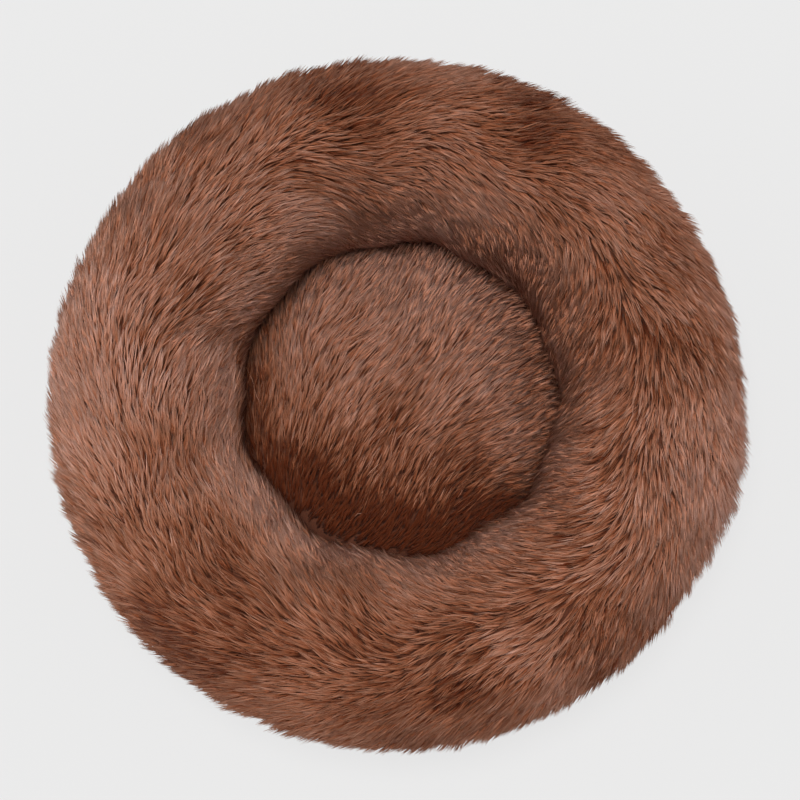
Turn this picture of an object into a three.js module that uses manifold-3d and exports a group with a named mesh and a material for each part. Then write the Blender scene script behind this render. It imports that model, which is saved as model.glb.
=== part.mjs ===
// Round plush pet bed: a stuffed bolster ring round a centre pad, in one removable cover.
// Millimetres, +Z up, the origin on the floor under the middle of the bed, and +Y towards the back.
// The cover is long plush above and coated cloth below. A zip in the base seam at the back opens it,
// and the two filled inner bags come out there.

import * as THREE from 'three';
import { mergeVertices } from 'three/addons/utils/BufferGeometryUtils.js';
import Module from 'manifold-3d';

const wasm = await Module();
wasm.setup();

// Overall sizes
const bedDiameter = 500;
const bolsterHeight = 170;
const bolsterWidth = 130;
const widestHeight = 88; // where the bolster reaches furthest out
const crownHeight = 74; // top of the centre pad's cover
const baseTuck = 44; // how far the base seam lies inside the widest line
const nestOffsetX = 3; // the nest lies a little right of and behind the middle
const nestOffsetY = 5;

// Cloths
const plushThickness = 4;
const allowanceThickness = 2; // plush with its pile trimmed away, inside a seam
const linerThickness = 0.8;
const baseClothThickness = 1.2;
const interliningThickness = 1.2;
const bindingThickness = 1;
const tapeThickness = 0.8;

const weldReach = 1e-4; // corners nearer than this are one

// Stuffing
const gatherCount = 9;
const gatherDepth = 2.2;
const crownPower = 2.4; // how flat the pad's crown is
const slitWidth = 3; // the filling slit of each inner bag
const slitLengthShare = 0.14; // of the way round the bolster, and of the pad's diameter

// Clearances
const sewnGap = 0.3; // between two layers that are sewn together
const looseGap = 0.5; // between a filled bag and what is round it

// Base
const seamHeight = 16;
const baseCornerRadius = 6;
const hemHeight = 24; // where the plush leaves the upright hem and swells outwards
const dotRadius = 5;
const dotHeight = 1;
const dotPitch = 46;
const dotTaper = 1;
const dotRootDepth = 0.6;

// Inner seam, between the bolster's plush and the pad's cover
const innerSeamAngle = 215; // degrees round the bolster's section, from its outer side
const outerSeamAngle = -38;
const allowanceBottom = 28;
const bindingWrap = 5; // how far the binding reaches up both sides of the allowances

// Zip
const zipSpan = 72; // degrees of the base seam
const toothPitch = 5;
const toothDepth = 2.4; // through the tape
const toothWidth = 2.15;
const toothNeck = 1.4;
const toothReach = 1.5; // past the middle of the chain
const toothRoot = 1.1; // over the tape's edge
const tapeSpacing = 3; // between the edges of the two tapes
const windowMargin = 0.6; // between the slider and the cloth edges above and below it
const tapeOverrun = 17; // past each end of the opening, along the seam
const tapeEndGap = 3; // between the zip's tapes and the plain seam's tape
const sliderLength = 12;
const sliderNose = 9.4;
const sliderTail = 7.4;
const plateThickness = 1.2;
const plateGap = 0.4; // between a plate and the teeth
const lipThickness = 0.8;
const wedgeLength = 2.6;
const wedgeWidth = 2.2;
const bridgeLength = 7;
const bridgeWidth = 2.4;
const bridgeHeight = 3.2;
const bridgeWall = 1.1;
const pullLength = 26;
const pullWidth = 7;
const pullThickness = 1.6;
const pullClearance = 0.3;
const pullArm = 1.3;
const barShare = 0.85; // of the pull's thickness
const pullHoleRadius = 1.7;
const stopLength = 3;
const stopWall = 1;
const stopGrip = 2;

// How finely the round forms are divided
const plushSegments = 36;
const clothSegments = 64;
const zipSegments = 144;
const sectionSteps = 12;
const crownSteps = 6;
const cornerSteps = 2;
const dotSides = 6;
const barSides = 12;

// Working values
const bedRadius = bedDiameter / 2;
const halfWidth = bolsterWidth / 2;
const crestRadius = bedRadius - halfWidth;
const crestRise = bolsterHeight - widestHeight;
const wallOuter = bedRadius - baseTuck;
const wallInner = wallOuter - baseClothThickness;
const clothFlat = Math.cos(Math.PI / clothSegments);
const plushFlat = Math.cos(Math.PI / plushSegments);
const tapeOuter = wallInner * clothFlat - sewnGap;
const tapeInner = tapeOuter - tapeThickness;
const chainRadius = tapeOuter - tapeThickness / 2;
const hemInner = (tapeOuter + sewnGap) / plushFlat;
const hemOuter = hemInner + plushThickness;
const baseFloor = dotHeight + baseClothThickness;
const liningFloor = baseFloor + sewnGap;
const bagFloor = liningFloor + interliningThickness + sewnGap;
const chainToDegrees = 180 / (Math.PI * chainRadius);
const zipStart = 90 - zipSpan / 2;
const zipEnd = 90 + zipSpan / 2;
const windowHalf = sliderNose / 2 + windowMargin;
const wallFoot = dotHeight + baseCornerRadius; // where the base cloth turns upright
const tapeWidth = seamHeight - tapeSpacing / 2 - wallFoot - sewnGap;
const stopStart = zipStart + stopLength * chainToDegrees;
const stopEnd = zipEnd - stopLength * chainToDegrees;
const sliderFromStop = (stopLength / 2 + sliderLength / 2 + sewnGap) * chainToDegrees;
const sliderAngle = stopStart + sliderFromStop;
const windowEnd = stopEnd - sliderFromStop + (pullLength + windowMargin) * chainToDegrees;

const coverColour = { color: 0x8a5a45, roughness: 0.95, metalness: 0 };
const linerColour = { color: 0xdedad2, roughness: 0.9, metalness: 0 };
const fillColour = { color: 0xf4f2ee, roughness: 1, metalness: 0 };
const baseColour = { color: 0x4b332a, roughness: 0.7, metalness: 0 };
const tapeColour = { color: 0x5a3c30, roughness: 0.85, metalness: 0 };
const metalColour = { color: 0x6b5347, roughness: 0.35, metalness: 0.9 };

const bed = new THREE.Group();

function addPiece(name, geometry, colour) {
  geometry.computeVertexNormals();
  const mesh = new THREE.Mesh(geometry, new THREE.MeshStandardMaterial(colour));
  mesh.name = name;
  bed.add(mesh);
  return mesh;
}

function smoothStep(low, high, value) {
  const share = Math.min(Math.max((value - low) / (high - low), 0), 1);
  return share * share * (3 - 2 * share);
}

// The same shape with one vertex at each corner and nothing stored but positions
function weld(geometry) {
  geometry.deleteAttribute('normal');
  geometry.deleteAttribute('uv');
  return mergeVertices(geometry, weldReach);
}

// Turns an outline of [radius, height] points, which goes counterclockwise, round the Z axis.
function revolve(outline, segments) {
  const points = outline.map(([radius, height]) => new THREE.Vector2(radius, height));
  return weld(new THREE.LatheGeometry(points, segments).rotateX(Math.PI / 2));
}

function closed(outline) {
  return [...outline, outline[0]];
}

// A flat curved bar that follows the seam: a ring sector between two angles and two heights.
// An arc in a shape gets two steps for each of its curve segments.
function arcBar(innerRadius, outerRadius, bottom, top, fromAngle, toAngle, segments) {
  const from = THREE.MathUtils.degToRad(fromAngle);
  const to = THREE.MathUtils.degToRad(toAngle);
  const shape = new THREE.Shape();
  shape.absarc(0, 0, outerRadius, from, to, false);
  shape.absarc(0, 0, innerRadius, to, from, true);
  const curveSegments = Math.ceil(((toAngle - fromAngle) / 360) * (segments / 2));
  const settings = { depth: top - bottom, bevelEnabled: false, curveSegments };
  return new THREE.ExtrudeGeometry(shape, settings).translate(0, 0, bottom);
}

function toSolid(geometry) {
  const welded = weld(geometry.clone());
  const vertProperties = new Float32Array(welded.attributes.position.array);
  const triVerts = new Uint32Array(welded.index.array);
  return new wasm.Manifold(new wasm.Mesh({ numProp: 3, vertProperties, triVerts }));
}

function toGeometry(solid) {
  const mesh = solid.getMesh();
  const geometry = new THREE.BufferGeometry();
  geometry.setAttribute('position', new THREE.BufferAttribute(mesh.vertProperties, 3));
  geometry.setIndex(new THREE.BufferAttribute(mesh.triVerts, 1));
  return geometry;
}

function join(geometries) {
  return toGeometry(geometries.map(toSolid).reduce((sum, solid) => sum.add(solid)));
}

function cut(geometry, cutters) {
  return toGeometry(cutters.map(toSolid).reduce((rest, solid) => rest.subtract(solid), toSolid(geometry)));
}

// The nest and all that is inside the seam move together, and the shift dies out at the base seam.
function shiftNest(geometry) {
  const position = geometry.attributes.position;
  for (let i = 0; i < position.count; i += 1) {
    const radius = Math.hypot(position.getX(i), position.getY(i));
    const share = 1 - smoothStep(crestRadius - halfWidth, wallInner - plushThickness * 2, radius);
    position.setX(i, position.getX(i) + nestOffsetX * share);
    position.setY(i, position.getY(i) + nestOffsetY * share);
  }
  return geometry;
}

// The stuffed ring is not quite even: it swells between soft gathers, which are deepest on its
// inner side and fade out towards the seams and towards its widest line.
function gatherBolster(geometry) {
  const position = geometry.attributes.position;
  for (let i = 0; i < position.count; i += 1) {
    const x = position.getX(i);
    const y = position.getY(i);
    const z = position.getZ(i);
    const radius = Math.hypot(x, y);
    const angle = Math.atan2(y, x);
    const above = smoothStep(hemHeight + plushThickness * 2, widestHeight, z);
    const inside = 1 - smoothStep(crestRadius - halfWidth, crestRadius + halfWidth, radius);
    const pull = gatherDepth * Math.cos(gatherCount * angle) * above;
    const nearer = (radius + pull * inside) / radius;
    const sunk = Math.abs(pull) * smoothStep(widestHeight, bolsterHeight, z);
    position.setXYZ(i, x * nearer, y * nearer, z - sunk);
  }
  return geometry;
}

// Point of the bolster's section at an angle from its outer side, a given depth under the plush
function sectionPoint(angle, depth) {
  const turn = THREE.MathUtils.degToRad(angle);
  return [
    crestRadius + (halfWidth - depth) * Math.cos(turn),
    widestHeight + (crestRise - depth) * Math.sin(turn),
  ];
}

function sectionArc(fromAngle, toAngle, steps, depth) {
  const points = [];
  for (let i = 0; i <= steps; i += 1) {
    points.push(sectionPoint(fromAngle + ((toAngle - fromAngle) * i) / steps, depth));
  }
  return points;
}

const [innerSeamRadius, innerSeamTop] = sectionPoint(innerSeamAngle, 0);
const padRadius = innerSeamRadius - sewnGap;
const rimHeight = innerSeamTop - plushThickness; // where the pad's cover turns down into the seam

// The window runs past the chain's end by the length of the pull, which lies flat there when open.
function zipWindow(overrun) {
  return arcBar(
    tapeInner - overrun, hemOuter + overrun,
    seamHeight - windowHalf, seamHeight + windowHalf,
    zipStart, windowEnd, clothSegments,
  );
}

// Plush ring, open below: hem, outer side, crest, inner side, then the allowance of the inner seam
function bolsterCover() {
  const allowanceOuter = innerSeamRadius + allowanceThickness;
  const outline = [
    [hemOuter, seamHeight + sewnGap / 2],
    [hemOuter, hemHeight],
    ...sectionArc(outerSeamAngle, innerSeamAngle, sectionSteps, 0),
    [innerSeamRadius, allowanceBottom],
    [allowanceOuter, allowanceBottom],
    [allowanceOuter, innerSeamTop],
    ...sectionArc(innerSeamAngle, outerSeamAngle, sectionSteps, plushThickness),
    [hemInner, hemHeight + plushThickness],
    [hemInner, seamHeight + sewnGap / 2],
  ];
  const ring = shiftNest(gatherBolster(revolve(closed(outline), plushSegments)));
  return cut(ring, [zipWindow(plushThickness)]);
}

// Section of the bolster's inner bag and fill, a given depth under the plush
function bagOutline(depth) {
  const bottom = bagFloor + depth - plushThickness;
  const foot = allowanceBottom + plushThickness * 2;
  const innerFoot = innerSeamRadius + allowanceThickness + bindingThickness * 3 + depth;
  const outerFoot = tapeInner - plateThickness * 3 - depth;
  return [
    [innerFoot + foot / 4, bottom],
    [outerFoot - foot / 4, bottom],
    [outerFoot, bottom + foot / 4],
    [outerFoot, hemHeight + depth],
    ...sectionArc(outerSeamAngle, innerSeamAngle, sectionSteps / 2, depth),
    [innerFoot, foot],
    [innerFoot, bottom + foot / 4],
  ];
}

// Non-woven bag, with the slit in its floor that it is filled through
function bolsterLiner() {
  const outerDepth = plushThickness + looseGap;
  const shell = closed(bagOutline(outerDepth));
  const hollow = closed(bagOutline(outerDepth + linerThickness));
  const slit = arcBar(
    crestRadius - slitWidth / 2, crestRadius + slitWidth / 2,
    bagFloor - plushThickness, bagFloor + plushThickness,
    0, 360 * slitLengthShare, clothSegments,
  );
  const bag = cut(revolve(shell, plushSegments), [revolve(hollow, plushSegments), slit]);
  return shiftNest(gatherBolster(bag));
}

function bolsterFill() {
  const depth = plushThickness + looseGap * 2 + linerThickness;
  return shiftNest(gatherBolster(revolve(closed(bagOutline(depth)), plushSegments)));
}

// Half outline of the crowned pad, from its rim to the axis: height = rim + rise * (1 - share^power)^0.5
function crownArc(rimRadius, depth) {
  const rise = crownHeight - rimHeight;
  const points = [];
  for (let i = 0; i <= crownSteps; i += 1) {
    const share = Math.cos((Math.PI / 2) * (i / crownSteps));
    const height = rimHeight - depth + rise * Math.sqrt(1 - share ** crownPower);
    points.push([rimRadius * share, height]);
  }
  points[crownSteps][0] = 0;
  return points;
}

function padCover() {
  const innerRadius = padRadius - allowanceThickness;
  const outline = [
    [padRadius, allowanceBottom],
    ...crownArc(padRadius, 0),
    ...crownArc(innerRadius, plushThickness).reverse(),
    [innerRadius, allowanceBottom],
  ];
  return shiftNest(revolve(closed(outline), plushSegments));
}

function padOutline(depth) {
  const radius = padRadius - allowanceThickness - bindingThickness - depth;
  const bottom = bagFloor + depth - plushThickness;
  return [
    [0, bottom],
    [radius - depth, bottom],
    [radius, bottom + depth],
    ...crownArc(radius, depth),
  ];
}

function padLiner() {
  const outerDepth = plushThickness + looseGap;
  const slit = new THREE.BoxGeometry(padRadius * slitLengthShare * 2, slitWidth, plushThickness * 2);
  slit.translate(0, 0, bagFloor);
  const bag = cut(revolve(padOutline(outerDepth), plushSegments), [
    revolve(padOutline(outerDepth + linerThickness), plushSegments),
    slit,
  ]);
  return shiftNest(bag);
}

function padFill() {
  const depth = plushThickness + looseGap * 2 + linerThickness;
  return shiftNest(revolve(padOutline(depth), plushSegments));
}

// Folded strip round the raw edges of the inner seam
function innerSeamBinding() {
  const outer = innerSeamRadius + allowanceThickness + sewnGap;
  const inner = padRadius - allowanceThickness - sewnGap;
  const bottom = allowanceBottom - sewnGap;
  const top = allowanceBottom + bindingWrap;
  const outline = [
    [inner - bindingThickness, bottom - bindingThickness],
    [outer + bindingThickness, bottom - bindingThickness],
    [outer + bindingThickness, top],
    [outer, top],
    [outer, bottom],
    [inner, bottom],
    [inner, top],
    [inner - bindingThickness, top],
  ];
  return shiftNest(revolve(closed(outline), plushSegments));
}

// Anti-slip studs of moulded rubber, on a triangular pattern inside the turned corner
function dotPlaces() {
  const reach = wallOuter - baseCornerRadius - dotRadius * 2;
  const rowPitch = dotPitch * Math.sin(Math.PI / 3);
  const rows = Math.floor(reach / rowPitch);
  const columns = Math.ceil(reach / dotPitch);
  const places = [];
  for (let row = -rows; row <= rows; row += 1) {
    const shift = Math.abs(row % 2) * (dotPitch / 2);
    for (let column = -columns; column <= columns; column += 1) {
      const x = column * dotPitch + shift;
      const y = row * rowPitch;
      if (Math.hypot(x, y) <= reach) {
        places.push([x, y]);
      }
    }
  }
  return places;
}

function dot([x, y]) {
  const height = dotHeight + dotRootDepth;
  const stud = new THREE.CylinderGeometry(dotRadius, dotRadius - dotTaper, height, dotSides);
  return stud.rotateX(Math.PI / 2).translate(x, y, height / 2);
}

function baseCorner(radius, steps) {
  const points = [];
  for (let i = 0; i <= steps; i += 1) {
    const turn = (Math.PI / 2) * (i / steps);
    points.push([
      wallOuter - baseCornerRadius + radius * Math.sin(turn),
      wallFoot - radius * Math.cos(turn),
    ]);
  }
  return points;
}

function basePanel() {
  const outline = [
    [0, dotHeight],
    ...baseCorner(baseCornerRadius, cornerSteps),
    [wallOuter, seamHeight - sewnGap / 2],
    [wallInner, seamHeight - sewnGap / 2],
    ...baseCorner(baseCornerRadius - baseClothThickness, cornerSteps).reverse(),
    [0, baseFloor],
  ];
  const tray = cut(revolve(outline, clothSegments), [zipWindow(plushThickness)]);
  return join([tray, ...dotPlaces().map(dot)]);
}

function baseInterlining() {
  const radius = wallOuter - baseCornerRadius;
  const disc = new THREE.CylinderGeometry(radius, radius, interliningThickness, plushSegments);
  return disc.rotateX(Math.PI / 2).translate(0, 0, liningFloor + interliningThickness / 2);
}

// Inner tape that joins base and plush wherever the zip does not
function baseSeamTape() {
  const endGap = (tapeOverrun + tapeEndGap) * chainToDegrees;
  return arcBar(
    tapeInner, tapeOuter,
    wallFoot + sewnGap, seamHeight * 2 - wallFoot - sewnGap,
    zipEnd + endGap, zipStart - endGap + 360, clothSegments,
  );
}

// One moulded tooth, seen from outside: a neck that widens to a head with cut corners.
// It stands on the tape's edge and reaches towards the other tape.
function tooth(angle, side) {
  const tapeEdge = tapeSpacing / 2;
  const headStart = toothReach / 3;
  const outline = new THREE.Shape([
    new THREE.Vector2(-toothNeck / 2, -tapeEdge - toothRoot),
    new THREE.Vector2(toothNeck / 2, -tapeEdge - toothRoot),
    new THREE.Vector2(toothWidth / 2, headStart),
    new THREE.Vector2(toothNeck / 2, toothReach),
    new THREE.Vector2(-toothNeck / 2, toothReach),
    new THREE.Vector2(-toothWidth / 2, headStart),
  ]);
  const solid = new THREE.ExtrudeGeometry(outline, { depth: toothDepth, bevelEnabled: false });
  solid.translate(0, 0, -toothDepth / 2);
  if (side > 0) {
    solid.rotateZ(Math.PI);
  }
  return onChain(solid, angle);
}

// Moves a solid from the chain's own frame (x along the chain, y up, z outwards) to its place
function onChain(geometry, angle) {
  const turn = THREE.MathUtils.degToRad(angle);
  const outward = new THREE.Vector3(Math.cos(turn), Math.sin(turn), 0);
  const along = new THREE.Vector3(-Math.sin(turn), Math.cos(turn), 0);
  const up = new THREE.Vector3(0, 0, 1);
  const place = new THREE.Matrix4().makeBasis(along, up, outward);
  place.setPosition(outward.clone().multiplyScalar(chainRadius).addScaledVector(up, seamHeight));
  return geometry.applyMatrix4(place);
}

function zipTape(side) {
  const edge = seamHeight + (side * tapeSpacing) / 2;
  const far = edge + side * tapeWidth;
  const overrun = tapeOverrun * chainToDegrees;
  const tape = arcBar(
    tapeInner, tapeOuter, Math.min(edge, far), Math.max(edge, far),
    zipStart - overrun, zipEnd + overrun, zipSegments,
  );
  const pitchAngle = toothPitch * chainToDegrees;
  const firstTooth = sliderAngle + (side > 0 ? pitchAngle / 2 : 0);
  const lastTooth = stopEnd - (stopLength / 2 + toothWidth) * chainToDegrees;
  const teeth = [];
  for (let angle = firstTooth; angle <= lastTooth; angle += pitchAngle) {
    teeth.push(tooth(angle, side));
  }
  return join([tape, ...teeth]);
}

// Clamp on the edge of one tape at the closed end, a U round the edge
function topStop(side) {
  const inner = tapeThickness / 2 + sewnGap;
  const outer = inner + stopWall;
  const edge = -tapeSpacing / 2;
  const outline = new THREE.Shape([
    new THREE.Vector2(-outer, edge - stopGrip),
    new THREE.Vector2(-inner, edge - stopGrip),
    new THREE.Vector2(-inner, edge + sewnGap),
    new THREE.Vector2(inner, edge + sewnGap),
    new THREE.Vector2(inner, edge - stopGrip),
    new THREE.Vector2(outer, edge - stopGrip),
    new THREE.Vector2(outer, edge + stopWall),
    new THREE.Vector2(-outer, edge + stopWall),
  ]);
  const clamp = new THREE.ExtrudeGeometry(outline, { depth: stopLength, bevelEnabled: false });
  clamp.translate(0, 0, -stopLength / 2).rotateY(Math.PI / 2);
  if (side > 0) {
    clamp.rotateZ(Math.PI);
  }
  return onChain(clamp, stopStart);
}

// Box at the far end that holds both tapes together: an H in section
function bottomStop() {
  const inner = tapeThickness / 2 + sewnGap;
  const outer = inner + stopWall;
  const web = tapeSpacing / 2 - sewnGap;
  const reach = tapeSpacing / 2 + stopGrip;
  const outline = new THREE.Shape([
    new THREE.Vector2(-outer, -reach),
    new THREE.Vector2(-inner, -reach),
    new THREE.Vector2(-inner, -web),
    new THREE.Vector2(inner, -web),
    new THREE.Vector2(inner, -reach),
    new THREE.Vector2(outer, -reach),
    new THREE.Vector2(outer, reach),
    new THREE.Vector2(inner, reach),
    new THREE.Vector2(inner, web),
    new THREE.Vector2(-inner, web),
    new THREE.Vector2(-inner, reach),
    new THREE.Vector2(-outer, reach),
  ]);
  const block = new THREE.ExtrudeGeometry(outline, { depth: stopLength, bevelEnabled: false });
  block.translate(0, 0, -stopLength / 2).rotateY(Math.PI / 2);
  return onChain(block, stopEnd);
}

// Outline of the slider's plates in the chain's frame: broad shoulders at the nose, a narrow tail.
// The nose points back along the chain, to the closed end.
function plateOutline() {
  const half = sliderLength / 2;
  const nose = sliderNose / 2;
  const tail = sliderTail / 2;
  const chamfer = sliderLength / 8;
  return new THREE.Shape([
    new THREE.Vector2(-half, -nose + chamfer),
    new THREE.Vector2(-half + chamfer, -nose),
    new THREE.Vector2(-chamfer, -nose),
    new THREE.Vector2(half - chamfer, -tail),
    new THREE.Vector2(half, -tail + chamfer),
    new THREE.Vector2(half, tail - chamfer),
    new THREE.Vector2(half - chamfer, tail),
    new THREE.Vector2(-chamfer, nose),
    new THREE.Vector2(-half + chamfer, nose),
    new THREE.Vector2(-half, nose - chamfer),
  ]);
}

const plateFace = toothDepth / 2 + plateGap;
const plateBack = plateFace + plateThickness;
const pivotHeight = plateBack + pullClearance + pullThickness / 2;

function block(sizeAlong, sizeUp, sizeOut, along, up, out) {
  return new THREE.BoxGeometry(sizeAlong, sizeUp, sizeOut).translate(along, up, out);
}

function sliderBody() {
  const plate = new THREE.ExtrudeGeometry(plateOutline(), { depth: plateThickness, bevelEnabled: false });
  const outerPlate = plate.clone().translate(0, 0, plateFace);
  const innerPlate = plate.clone().translate(0, 0, -plateBack);
  const half = sliderLength / 2;
  const overlap = plateThickness / 2;
  const wedgeDepth = (plateFace + overlap) * 2;
  const wedge = block(wedgeLength, wedgeWidth, wedgeDepth, -half + wedgeLength / 2 + overlap, 0, 0);
  const slot = tapeThickness / 2 + sewnGap;
  const lipDepth = plateFace + overlap - slot;
  const lipLength = half;
  const lips = [];
  for (const up of [-1, 1]) {
    for (const out of [-1, 1]) {
      const place = up * (sliderTail / 2 - lipThickness / 2);
      lips.push(block(lipLength, lipThickness, lipDepth, 0, place, out * (slot + lipDepth / 2)));
    }
  }
  const legRise = bridgeHeight + overlap;
  const legBase = plateBack - overlap + legRise / 2;
  const legPlace = bridgeLength / 2 - bridgeWall / 2;
  const roof = plateBack + bridgeHeight - bridgeWall / 2;
  const bridge = [
    block(bridgeWall, bridgeWidth, legRise, -legPlace, 0, legBase),
    block(bridgeWall, bridgeWidth, legRise, legPlace, 0, legBase),
    block(bridgeLength, bridgeWidth, bridgeWall, 0, 0, roof),
  ];
  return onChain(join([outerPlate, innerPlate, wedge, ...lips, ...bridge]), sliderAngle);
}

// Flat pull: a bar under the bridge, two arms past its sides and a tab with a hole
function sliderPull() {
  const armInner = bridgeWidth / 2 + pullClearance;
  const armOuter = armInner + pullArm;
  const radius = (pullThickness / 2) * barShare;
  const tabStart = Math.hypot(bridgeLength / 2, bridgeHeight) + pullClearance;
  const bar = new THREE.CylinderGeometry(radius, radius, armOuter * 2, barSides);
  const arms = [-1, 1].map((up) => {
    const place = (up * (armInner + armOuter)) / 2;
    return block(tabStart + radius, pullArm, pullThickness, (tabStart + radius) / 2, place, 0);
  });
  const corner = pullWidth / 2;
  const outline = new THREE.Shape();
  outline.moveTo(tabStart, -armOuter);
  outline.lineTo(pullLength - corner, -corner);
  outline.absarc(pullLength - corner, 0, corner, -Math.PI / 2, Math.PI / 2, false);
  outline.lineTo(tabStart, armOuter);
  const hole = new THREE.Path();
  hole.absarc(pullLength - corner, 0, pullHoleRadius, 0, 2 * Math.PI, true);
  outline.holes.push(hole);
  const settings = { depth: pullThickness, bevelEnabled: false, curveSegments: 8 };
  const tab = new THREE.ExtrudeGeometry(outline, settings).translate(0, 0, -pullThickness / 2);
  const pull = join([bar, ...arms, tab]).translate(0, 0, pivotHeight);
  return onChain(pull, sliderAngle);
}

addPiece('bolster_cover', bolsterCover(), coverColour);
addPiece('bolster_liner', bolsterLiner(), linerColour);
addPiece('bolster_fill', bolsterFill(), fillColour);
addPiece('pad_cover', padCover(), coverColour);
addPiece('pad_liner', padLiner(), linerColour);
addPiece('pad_fill', padFill(), fillColour);
addPiece('inner_seam_binding', innerSeamBinding(), tapeColour);
addPiece('base_panel', basePanel(), baseColour);
addPiece('base_interlining', baseInterlining(), linerColour);
addPiece('base_seam_tape', baseSeamTape(), tapeColour);
addPiece('zip_tape_lower', zipTape(-1), tapeColour);
addPiece('zip_tape_upper', zipTape(1), tapeColour);
addPiece('zip_top_stop_lower', topStop(-1), metalColour);
addPiece('zip_top_stop_upper', topStop(1), metalColour);
addPiece('zip_bottom_stop', bottomStop(), metalColour);
addPiece('zip_slider', sliderBody(), metalColour);
addPiece('zip_pull', sliderPull(), metalColour);

export default bed;
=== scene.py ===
import math
import bmesh
import bpy
import numpy as np
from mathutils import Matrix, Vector


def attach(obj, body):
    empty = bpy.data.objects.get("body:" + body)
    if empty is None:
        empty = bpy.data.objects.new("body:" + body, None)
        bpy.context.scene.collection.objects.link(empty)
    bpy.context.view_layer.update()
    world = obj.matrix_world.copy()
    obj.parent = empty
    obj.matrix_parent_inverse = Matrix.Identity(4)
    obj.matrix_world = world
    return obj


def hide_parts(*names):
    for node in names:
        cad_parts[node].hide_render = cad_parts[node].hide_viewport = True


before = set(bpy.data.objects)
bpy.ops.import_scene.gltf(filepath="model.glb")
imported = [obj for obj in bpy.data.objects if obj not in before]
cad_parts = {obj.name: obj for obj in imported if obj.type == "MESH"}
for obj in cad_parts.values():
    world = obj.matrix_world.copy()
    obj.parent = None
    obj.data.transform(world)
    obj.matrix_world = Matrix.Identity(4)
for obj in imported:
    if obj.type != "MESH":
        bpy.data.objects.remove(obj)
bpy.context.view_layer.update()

print("frame loaded")

mm = 0.001
turn = 2 * math.pi

# The solids' own measures, in millimetres and degrees
form = {
    "bedRadius": 250, "halfWidth": 65, "widestHeight": 88, "crestRise": 82,
    "hemOuter": 209.34, "hemFoot": 16.15, "hemTop": 24, "outerSeam": -38, "innerSeam": 215,
    "allowanceBottom": 28, "allowance": 2, "gathers": 9, "gatherDepth": 2.2,
    "nestX": 3, "nestY": 5, "nestFade": 196.8, "plush": 4, "liner": 0.8, "loose": 0.5, "sewn": 0.3,
    "binding": 1, "bindingWrap": 5, "crown": 74, "crownPower": 2.4, "bagFloor": 4,
    "wallOuter": 206, "baseCloth": 1.2, "corner": 6, "studHeight": 1, "studRadius": 5, "studPitch": 46,
    "seamHeight": 16, "tapeInner": 203.453, "tapeOuter": 204.253,
    "windowFrom": 54, "windowTo": 130.44, "windowHalf": 5.3, "liningFloor": 2.5, "lining": 1.2,
    "plate": 1.2, "tapeOverrun": 17, "tapeEndGap": 3, "tapeSpacing": 3, "toothPitch": 5,
    "sliderAngle": 57.035,
}
crestRadius = form["bedRadius"] - form["halfWidth"]
nestRadius = crestRadius - form["halfWidth"]
seamTurn = math.radians(form["innerSeam"])
seamRadius = crestRadius + form["halfWidth"] * math.cos(seamTurn)
seamTop = form["widestHeight"] + form["crestRise"] * math.sin(seamTurn)
padRadius = seamRadius - form["sewn"]
rimHeight = seamTop - form["plush"]
windowTop = form["seamHeight"] + form["windowHalf"]
windowFoot = form["seamHeight"] - form["windowHalf"]
wallFoot = form["studHeight"] + form["corner"]
chainRadius = (form["tapeInner"] + form["tapeOuter"]) / 2
chainDegrees = 180 / (math.pi * chainRadius)


# 3 s^2 - 2 s^3, with s the share of the way from low to high
def smoothStep(low, high, value):
    share = np.clip((value - low) / (high - low), 0, 1)
    return share * share * (3 - 2 * share)


# The ring's gathers: radius + d cos(9 turn), fading outwards, and height - |d cos(9 turn)| towards the crest
def gather(points):
    x, y, z = points[..., 0], points[..., 1], points[..., 2]
    radius = np.hypot(x, y)
    pull = form["gatherDepth"] * np.cos(form["gathers"] * np.arctan2(y, x))
    pull = pull * smoothStep(form["hemTop"] + 2 * form["plush"], form["widestHeight"], z)
    inside = 1 - smoothStep(nestRadius, form["bedRadius"], radius)
    nearer = 1 + pull * inside / np.maximum(radius, 1)
    sunk = np.abs(pull) * smoothStep(form["widestHeight"], form["widestHeight"] + form["crestRise"], z)
    return np.stack([x * nearer, y * nearer, z - sunk], -1)


# The nest stands a little off the middle: the shift is whole inside the ring and gone at the base seam
def shiftNest(points):
    radius = np.hypot(points[..., 0], points[..., 1])
    share = 1 - smoothStep(nestRadius, form["nestFade"], radius)
    shift = np.array([form["nestX"], form["nestY"], 0.0])
    return points + share[..., None] * shift


def warpRing(points):
    return shiftNest(gather(points))


# Points [radius, height], where either may be one value for all
def pathOf(radius, height):
    return np.stack(np.broadcast_arrays(np.asarray(radius, float), height), -1)


# Arc of the ring's section, an ellipse, by angles from its outer side, a depth under the solid's face
def sectionArc(start, end, steps, depth):
    angle = np.radians(np.linspace(start, end, steps + 1))
    radius = crestRadius + (form["halfWidth"] - depth) * np.cos(angle)
    return pathOf(radius, form["widestHeight"] + (form["crestRise"] - depth) * np.sin(angle))


# How far each point lies along a polyline
def lengthsAlong(points):
    return np.concatenate([[0], np.cumsum(np.linalg.norm(np.diff(points, axis=0), axis=1))])


# Evenly spaced points along a polyline, its corners softened by a running mean over reach millimetres
def resample(points, pitch, reach=0.0):
    points = np.asarray(points, float)
    lengths = lengthsAlong(points)
    places = np.linspace(0, lengths[-1], max(round(lengths[-1] / pitch), 2) + 1)
    fine = places[:, None]
    if reach:
        fine = fine + np.linspace(-1, 1, 9) * np.minimum(reach, np.minimum(places, places[::-1]))[:, None]
    return np.stack([np.interp(fine, lengths, points[:, i]).mean(1) for i in range(2)], -1)


def addObject(name, data):
    added = bpy.data.objects.new(name, data)
    bpy.context.scene.collection.objects.link(added)
    return added


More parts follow.
